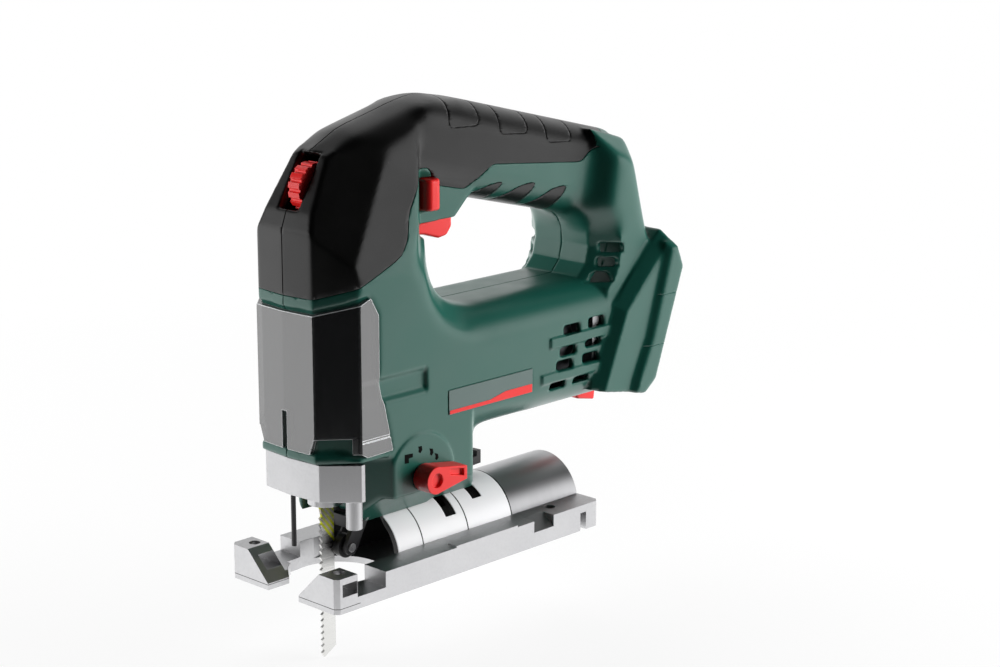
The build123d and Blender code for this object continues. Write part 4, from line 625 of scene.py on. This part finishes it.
def round_off(verts, edges, outside):
    """Round the edges by about 1.5 mm, less at fine detail, more where one form runs into another."""
    fine = np.zeros(len(verts))
    for low, high in fine_boxes:
        fine = np.maximum(fine, softly_inside(verts, low, high, fine_blur))
    relax(verts, edges, np.where(outside, edge_pull - fine_hold * fine, 0.0), edge_rounds)
    broad = np.zeros(len(verts))
    for low, high in broad_boxes:
        broad = np.maximum(broad, softly_inside(verts, low, high, broad_blur))
    relax(verts, edges, np.where(outside, broad_pull * broad * (1 - fine), 0.0), broad_rounds)


def thin_out(verts, faces, marks):
    """Fewer triangles, whose vertices take the marks of the nearest ones before."""
    slim = through_modifier(mesh_from(verts, faces), "DECIMATE", ratio=kept_share)
    before = KDTree(len(verts))
    for index, place in enumerate(verts):
        before.insert(place, index)
    before.balance()
    verts, tris = arrays_of(slim)
    bpy.data.meshes.remove(slim)
    came_from = np.array([before.find(place)[1] for place in verts])
    return verts, tris, {key: mark[came_from] for key, mark in marks.items()}


def seam_fields():
    """Each seam as a field that is nought on it, with the mark of the surface that it is pressed into."""
    skins = round_outline(black_region, outline_radius)
    flames = [round_outline(flame, outline_radius) for flame in finger_flames]
    pads = [round_outline(pad_outline(pad), outline_radius) for pad in grip_pads]
    return [
        (lambda points: points[:, 1], "outside"),
        (lambda points: side_distance(points, skins), "grip"),
        (lambda points: np.max([side_distance(points, flame) for flame in flames], axis=0), "finger"),
        (lambda points: np.max([side_distance(points, pad) for pad in pads], axis=0), "grip"),
        (lambda points: line_distance(points, shoe_lines[0]), "cheek"),
        (lambda points: line_distance(points, shoe_lines[1]), "cheek"),
    ]


def press_seams(verts, tris, marks, seams):
    """Cut lines along each seam and on both sides of it, then press the seam line in."""
    for field, _ in seams:
        for level in (-seam_half, 0.0, seam_half):
            verts, tris, marks = cut_along(verts, tris, field, level, marks)
    marks["cheek"] = marks["outside"] & (np.abs(verts[:, 1]) > cheek_y)
    normals = corner_normals(verts, tris)
    normals[np.abs(verts[:, 1]) < on_middle, 1] = 0
    pressed = np.zeros(len(verts), bool)
    for field, gate in seams:
        pressed |= (np.abs(field(verts)) < on_seam) & marks[gate]
    verts[pressed] -= normals[pressed] * seam_depth
    return verts, tris, marks, normals


def make_mouldings(green, black):
    """The housing halves with their skins and finger pads, as rounded pieces."""
    mesh = through_modifier(
        mesh_from(*join_arrays(shells + grips + fingers)), "REMESH", mode="VOXEL", voxel_size=voxel
    )
    verts, tris = arrays_of(mesh)
    edges = np.empty(len(mesh.edges) * 2, np.int32)
    mesh.edges.foreach_get("vertices", edges)
    edges = edges.reshape(-1, 2)
    quads = np.empty(len(mesh.loops), np.int32)
    mesh.loops.foreach_get("vertex_index", quads)
    bpy.data.meshes.remove(mesh)
    tree = BVHTree.FromPolygons(verts.tolist(), tris.tolist())
    outside = sees_out(verts, corner_normals(verts, tris), tree)
    marks = mark_skins(verts, edges, outside)
    round_off(verts, edges, outside)
    verts, tris, marks = thin_out(verts, quads.reshape(-1, 4), marks)
    seams = seam_fields()
    verts, tris, marks, normals = press_seams(verts, tris, marks, seams)

    # Which piece each triangle belongs to
    middle = verts[tris].mean(1)
    in_skin, in_flame = seams[1][0](middle) > 0, seams[2][0](middle) > 0
    is_grip = in_skin & (marks["grip"][tris].sum(1) >= 2)
    is_finger = in_flame & (marks["finger"][tris].sum(1) >= 2) & ~is_grip
    is_shell = ~is_grip & ~is_finger
    left = middle[:, 1] > 0
    # The outer vertices, the skins' undersides, and the shell a little below them
    count = len(verts)
    below = skin_depth + skin_gap
    stacked = np.concatenate([verts, verts - normals * skin_depth, verts - normals * below])
    for side, on_side in (("left", left), ("right", ~left)):
        for name, group, stands in (("skin", is_grip, "grip"), ("finger_pads", is_finger, "finger_grip")):
            outer = tris[group & on_side]
            faces = np.concatenate([outer, outer[:, ::-1] + count, wall(rim_of(outer), count)])
            finish_piece(f"{name}_{side}", stacked, faces, black, [f"{stands}_{side}"])
        outer = tris[is_shell & on_side]
        covered = tris[~is_shell & on_side]
        rim = rim_of(outer)
        shared = rim[np.isin(edge_keys(rim), edge_keys(rim_of(covered)[:, ::-1]))]
        faces = np.concatenate([outer, covered + 2 * count, wall(shared, 2 * count)])
        finish_piece(f"shell_{side}", stacked, faces, green, [f"housing_{side}"])


# Smaller pieces

# The selector, whose hub's place in the side view is x and z
rosette_y = 0.0311
selector_hub = (0.029, 0.049)
hub_hole_radius = 0.0032
hollow_depth = 0.0016
# Long hollow in the selector's wing, in millimetres in the side view
wing_hollow = [(21.0, 52.6), (12.6, 51.2), (12.6, 47.9), (21.0, 50.0)]
# Plain marks around the selector, in millimetres in the side view
selector_marks = [
    [(39.8, 61.2), (35.0, 60.9), (35.0, 59.2), (37.4, 59.1), (37.4, 57.0), (39.8, 57.2)],
    [(31.6, 63.2), (29.5, 63.1), (29.2, 61.2), (30.5, 60.0), (31.4, 60.7), (31.2, 62.0)],
    [(24.8, 60.9), (22.8, 60.4), (22.4, 58.6), (23.5, 57.4), (24.4, 58.1), (24.2, 59.4)],
    [(21.6, 58.1), (19.7, 57.4), (19.3, 55.6), (20.3, 54.6), (21.2, 55.3), (21.0, 56.6)],
]
# Red stripe along the lower edge of each side plate, thicker towards the rear
plate_stripe = [(11.6, 73.6), (11.6, 75.3), (-14.0, 75.3), (-24.0, 77.4), (-41.6, 77.4), (-41.6, 73.6)]
stripe_rise = 0.00015
print_rise = 0.00012
print_depth = 0.0006
# Sockets of the screws, drawn as black hexagons of painted shade, and how the heads are told apart and
# found
socket_radius = 0.0015
socket_depth = 0.0006
socket_lift = 0.00002
head_reach = 0.012
head_face = 0.0002
# Angles in radians from which an edge is rounded or shaded as a crease, or below which faces are one
sharp_angle = 0.5
sheet_angle = 1.2
sheet_crease = 0.1
moulding_crease = 1.0
flat_angle = 0.01
merge_gap = 0.000001
# Rounded edges: steps across one, radius on two pieces, and how far large faces keep their own shading
edge_steps = 4
selector_edge = 0.0004
shield_edge = 0.0006
rounded_weight = 80
moulding_weight = 50
# CAD pieces shown with rounded edges: new name, radius, finish, slot and body
rounded_pieces = {
    "lock_button": ("lock_cap", 0.0012, "red", "red", "lock"),
    "trigger": ("trigger_paddle", 0.0016, "red", "red", "trigger"),
    "blower_slide": ("blower_tab", 0.0009, "red", "red", "blower"),
    "blade_lever": ("guard_bow", 0.0006, "cast", "bow", "bow"),
}


def prism(work, outline, low_y, high_y):
    """Add an upright slab over an outline in the side view, in millimetres."""
    low = [work.verts.new((x / 1000, low_y, z / 1000)) for x, z in outline]
    high = [work.verts.new((x / 1000, high_y, z / 1000)) for x, z in outline]
    work.faces.new(low)
    work.faces.new(list(reversed(high)))
    for index in range(len(outline)):
        after = (index + 1) % len(outline)
        work.faces.new((low[index], high[index], high[after], low[after]))


def mesh_of(work, name):
    """The mesh of a finished work mesh, faces outwards."""
    bmesh.ops.recalc_face_normals(work, faces=work.faces)
    mesh = bpy.data.meshes.new(name)
    work.to_mesh(mesh)
    work.free()
    return mesh


def show(mesh, name, material, body="housing", stands_for=()):
    """Put a mesh in the scene as a piece that rides a body."""
    mesh.name = name
    if mesh.materials:
        mesh.materials.clear()
    mesh.materials.append(material)
    piece = bpy.data.objects.new(name, mesh)
    bpy.context.scene.collection.objects.link(piece)
    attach(piece, body)
    if stands_for:
        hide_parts(*stands_for)
    return piece


def soft_edges(mesh, radius, least=sharp_angle, edge_finish=-1, crease=sharp_angle):
    """A CAD mesh with its triangles joined, its flat faces made whole and its sharp edges rounded.
    The rounded edges may have a finish of their own."""
    work = bmesh.new()
    work.from_mesh(mesh)
    bmesh.ops.remove_doubles(work, verts=work.verts, dist=merge_gap)
    bmesh.ops.dissolve_limit(work, angle_limit=flat_angle, verts=work.verts, edges=work.edges)
    sharp = [edge for edge in work.edges if edge.is_manifold and edge.calc_face_angle() > least]
    bmesh.ops.bevel(
        work, geom=sharp, offset=radius, segments=edge_steps, profile=0.5, affect="EDGES",
        clamp_overlap=True, material=edge_finish,
    )
    bmesh.ops.triangulate(work, faces=[face for face in work.faces if len(face.verts) > 4])
    for face in work.faces:
        face.smooth = True
    for edge in work.edges:
        if edge.is_manifold and edge.calc_face_angle() > crease:
            edge.smooth = False
    made = mesh_of(work, "soft")
    return through_modifier(made, "WEIGHTED_NORMAL", keep_sharp=True, weight=rounded_weight)


def make_selector(paint):
    """The knob with a round hollow in its hub and a long one in its wing."""
    _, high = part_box("selector_knob")
    cutters = bmesh.new()
    upright = Matrix.Rotation(math.pi / 2, 4, "X")
    place = Matrix.Translation((selector_hub[0], high[1], selector_hub[1])) @ upright
    bmesh.ops.create_cone(
        cutters, cap_ends=True, segments=32, radius1=hub_hole_radius, radius2=hub_hole_radius,
        depth=2 * hollow_depth, matrix=place,
    )
    prism(cutters, wing_hollow, high[1] - hollow_depth, high[1] + hollow_depth)
    cutter = bpy.data.objects.new("cutters", mesh_of(cutters, "cutters"))
    bpy.context.scene.collection.objects.link(cutter)
    body = nodes["selector_knob"].data.copy()
    cut = through_modifier(body, "BOOLEAN", operation="DIFFERENCE", object=cutter, solver="EXACT")
    bpy.data.objects.remove(cutter)
    made = soft_edges(cut, selector_edge)
    show(made, "selector_lever", paint["red"], "selector", ["selector_knob"])


def socket_tree(material):
    """Geometry nodes that set a six-sided socket, a black block of painted shade, on every point of a mesh.
    """
    tree = bpy.data.node_groups.new("screw_sockets", "GeometryNodeTree")
    tree.interface.new_socket("Geometry", in_out="INPUT", socket_type="NodeSocketGeometry")
    radius = tree.interface.new_socket("Radius", in_out="INPUT", socket_type="NodeSocketFloat")
    depth = tree.interface.new_socket("Depth", in_out="INPUT", socket_type="NodeSocketFloat")
    tree.interface.new_socket("Geometry", in_out="OUTPUT", socket_type="NodeSocketGeometry")
    start = add(tree, "NodeGroupInput", {})
    sizes = {"Vertices": 6, "Radius": start["Radius"], "Depth": start["Depth"]}
    lobe = add(tree, "GeometryNodeMeshCylinder", sizes)["Mesh"]
    spots = add(tree, "GeometryNodeMeshToPoints", {"Mesh": start["Geometry"]})["Points"]
    upright = (math.pi / 2, 0.0, 0.0)
    placed = {"Points": spots, "Instance": lobe, "Rotation": upright}
    copies = add(tree, "GeometryNodeInstanceOnPoints", placed)["Instances"]
    real = add(tree, "GeometryNodeRealizeInstances", {0: copies})[0]
    coated = add(tree, "GeometryNodeSetMaterial", {"Geometry": real, "Material": material})[0]
    add(tree, "NodeGroupOutput", {0: coated})
    return tree, radius.identifier, depth.identifier


def make_sockets(paint):
    """Sockets in the heads of the housing screws, on the tool's right. They are black hexagons: painted
    shade in place of the hollows.
    """
    verts, _ = arrays_of(nodes["housing_screws"].data)
    heads = []
    for x, _, z in verts[np.argsort(verts[:, 1])]:
        if all(math.hypot(x - head_x, z - head_z) > head_reach for head_x, _, head_z in heads):
            near = verts[np.hypot(verts[:, 0] - x, verts[:, 2] - z) < head_reach]
            face = near[near[:, 1] < near[:, 1].min() + head_face]
            heads.append((face[:, 0].mean(), face[:, 1].min() - socket_lift, face[:, 2].mean()))
    mesh = bpy.data.meshes.new("heads")
    mesh.from_pydata(heads, [], [])
    holder = bpy.data.objects.new("holder", mesh)
    bpy.context.scene.collection.objects.link(holder)
    tree, radius, depth = socket_tree(paint["ink_and_shade"])
    modifier = holder.modifiers.new("sockets", "NODES")
    modifier.node_group = tree
    modifier[radius] = socket_radius
    modifier[depth] = socket_depth
    graph = bpy.context.evaluated_depsgraph_get()
    made = bpy.data.meshes.new_from_object(holder.evaluated_get(graph))
    bpy.data.objects.remove(holder)
    show(made, "screw_sockets", paint["ink_and_shade"])


def make_details(paint):
    """Marks, stripes, rounded controls, the shield, the selector and the screw sockets."""
    marks = bmesh.new()
    for outline in selector_marks:
        prism(marks, outline, rosette_y - print_depth, rosette_y + print_rise)
    show(mesh_of(marks, "marks"), "selector_marks", paint["ink_and_shade"])
    for side, name in ((1, "left"), (-1, "right")):
        low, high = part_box(f"side_plate_{name}")
        face = high[1] if side > 0 else -low[1]
        stripe = bmesh.new()
        prism(stripe, plate_stripe, side * (face - print_depth), side * (face + stripe_rise))
        show(mesh_of(stripe, "stripe"), f"plate_stripe_{name}", paint["red"])
    for node, (name, radius, finish, slot, body) in rounded_pieces.items():
        show(soft_edges(nodes[node].data, radius), name, paint[finish], body, [node])
    # The clear sheet's rounded cut edges get a pale finish: a painted highlight
    sheet = soft_edges(nodes["chip_shield"].data, shield_edge, sheet_angle, 1, sheet_crease)
    pane = show(sheet, "shield_pane", paint["clear"], "shield", ["chip_shield"])
    pane.data.materials.append(paint["lit"])
    make_selector(paint)
    make_sockets(paint)


# Studio: white sweep behind, dark room behind the camera, low soft boxes and bright floor at both sides

towards_camera = (0.69, 0.724, 0.0)
floor_half = 6.0
floor_drop = 0.0005
floor_glow = 1.6
floor_tone = 0.15
# Distance from the middle over which the shadow fades, and that over which the glow ends towards the camera
shadow_span = {"From Min": 0.2, "From Max": 0.7, "To Min": 0.82, "To Max": 1.0}
glow_span = {"From Min": 0.12, "From Max": 0.40, "To Min": floor_glow, "To Max": 0.01}
dark_room = 0.004
object_middle = (-0.03, 0.0, 0.10)
# Bright parts of the room: direction, cosine where each starts and is full, and strength
bright_ways = [
    ((-0.71, -0.67, 0.20), 0.45, 0.85, 1.0),
    ((-0.70, 0.71, 0.05), 0.86, 0.96, 1.7),
    ((0.71, -0.70, 0.05), 0.86, 0.96, 1.7),
]
# Soft boxes: place, width, height and power
soft_boxes = {
    "box_front": ((0.66, -0.83, 0.22), 0.9, 0.5, 12.5),
    "box_side": ((-0.83, 0.66, 0.22), 0.9, 0.5, 18.0),
    "box_top": ((-0.45, -0.40, 1.0), 0.9, 0.9, 4.5),
}


def make_lamps():
    """Soft boxes that point at the object."""
    for name, (place, width, height, power) in soft_boxes.items():
        data = bpy.data.lights.new(name, "AREA")
        data.shape = "RECTANGLE"
        data.size = width
        data.size_y = height
        data.energy = power
        lamp = bpy.data.objects.new(name, data)
        bpy.context.scene.collection.objects.link(lamp)
        lamp.location = place
        # Reflections show the room and the floor, not the lamps
        lamp.visible_glossy = False
        lamp.rotation_mode = "QUATERNION"
        lamp.rotation_quaternion = (Vector(object_middle) - Vector(place)).to_track_quat("-Z", "Y")


def make_world():
    """A dark room with bright parts, white for the camera."""
    world = bpy.data.worlds.new("studio")
    bpy.context.scene.world = world
    world.use_nodes = True
    tree = world.node_tree
    way = add(tree, "ShaderNodeTexCoord", {})["Generated"]
    level = None
    for direction, start, full, strength in bright_ways:
        facing = add(tree, "ShaderNodeVectorMath", {0: way, 1: direction}, operation="DOT_PRODUCT")["Value"]
        range_to = {"From Min": start, "From Max": full, "To Min": dark_room, "To Max": strength}
        lobe = add(tree, "ShaderNodeMapRange", {"Value": facing, **range_to})["Result"]
        if level is not None:
            lobe = add(tree, "ShaderNodeMath", {0: level, 1: lobe}, operation="MAXIMUM")[0]
        level = lobe
    seen = add(tree, "ShaderNodeLightPath", {})["Is Camera Ray"]
    strength = add(tree, "ShaderNodeMix", {0: seen, 2: level, 3: 1.0})[0]
    feed(tree, tree.nodes["Background"], {"Color": linear("#ffffff"), "Strength": strength})


def make_floor():
    """A pale floor that keeps the object's shadow."""
    mesh = bpy.data.meshes.new("floor")
    corners = [(-1, -1), (1, -1), (1, 1), (-1, 1)]
    mesh.from_pydata([(x * floor_half, y * floor_half, 0.0) for x, y in corners], [], [(0, 1, 2, 3)])
    floor = bpy.data.objects.new("floor", mesh)
    bpy.context.scene.collection.objects.link(floor)
    floor.location.z = cad_low.z - floor_drop
    mat, tree, shader = new_material("pale_floor")
    ray = add(tree, "ShaderNodeLightPath", {})
    place = add(tree, "ShaderNodeNewGeometry", {})["Position"]
    # The camera sees a white floor with the shadow kept near the object
    range_to = {"To Min": floor_tone, "To Max": 0.9}
    tone = add(tree, "ShaderNodeMapRange", {"Value": ray["Is Camera Ray"], **range_to})["Result"]
    feed(tree, shader, {"Base Color": tone, "Roughness": 0.8})
    far = add(tree, "ShaderNodeVectorMath", {0: place}, operation="LENGTH")["Value"]
    white = add(tree, "ShaderNodeMapRange", {"Value": far, **shadow_span})["Result"]
    share = add(tree, "ShaderNodeMath", {0: ray["Is Camera Ray"], 1: white}, operation="MULTIPLY")[0]
    glow = add(tree, "ShaderNodeEmission", {"Strength": 1.0})[0]
    seen = add(tree, "ShaderNodeMixShader", {0: share, 1: shader.outputs[0], 2: glow})[0]
    # Reflections see it bright at the sides and behind, and dark towards the camera
    ahead = {0: place, 1: towards_camera}
    near = add(tree, "ShaderNodeVectorMath", ahead, operation="DOT_PRODUCT")["Value"]
    level = add(tree, "ShaderNodeMapRange", {"Value": near, **glow_span})["Result"]
    lit = add(tree, "ShaderNodeEmission", {"Strength": level})[0]
    mixed = add(tree, "ShaderNodeMixShader", {0: ray["Is Glossy Ray"], 1: seen, 2: lit})[0]
    feed(tree, tree.nodes["Material Output"], {"Surface": mixed})
    mat.cycles.emission_sampling = "NONE"
    mesh.materials.append(mat)


def make_studio():
    """World, floor and lamps."""
    bpy.context.scene.view_settings.view_transform = "Standard"
    make_world()
    make_floor()
    make_lamps()


make_camera()
paint = dress()
make_mouldings(paint["green"], paint["black"])
make_details(paint)
make_studio()
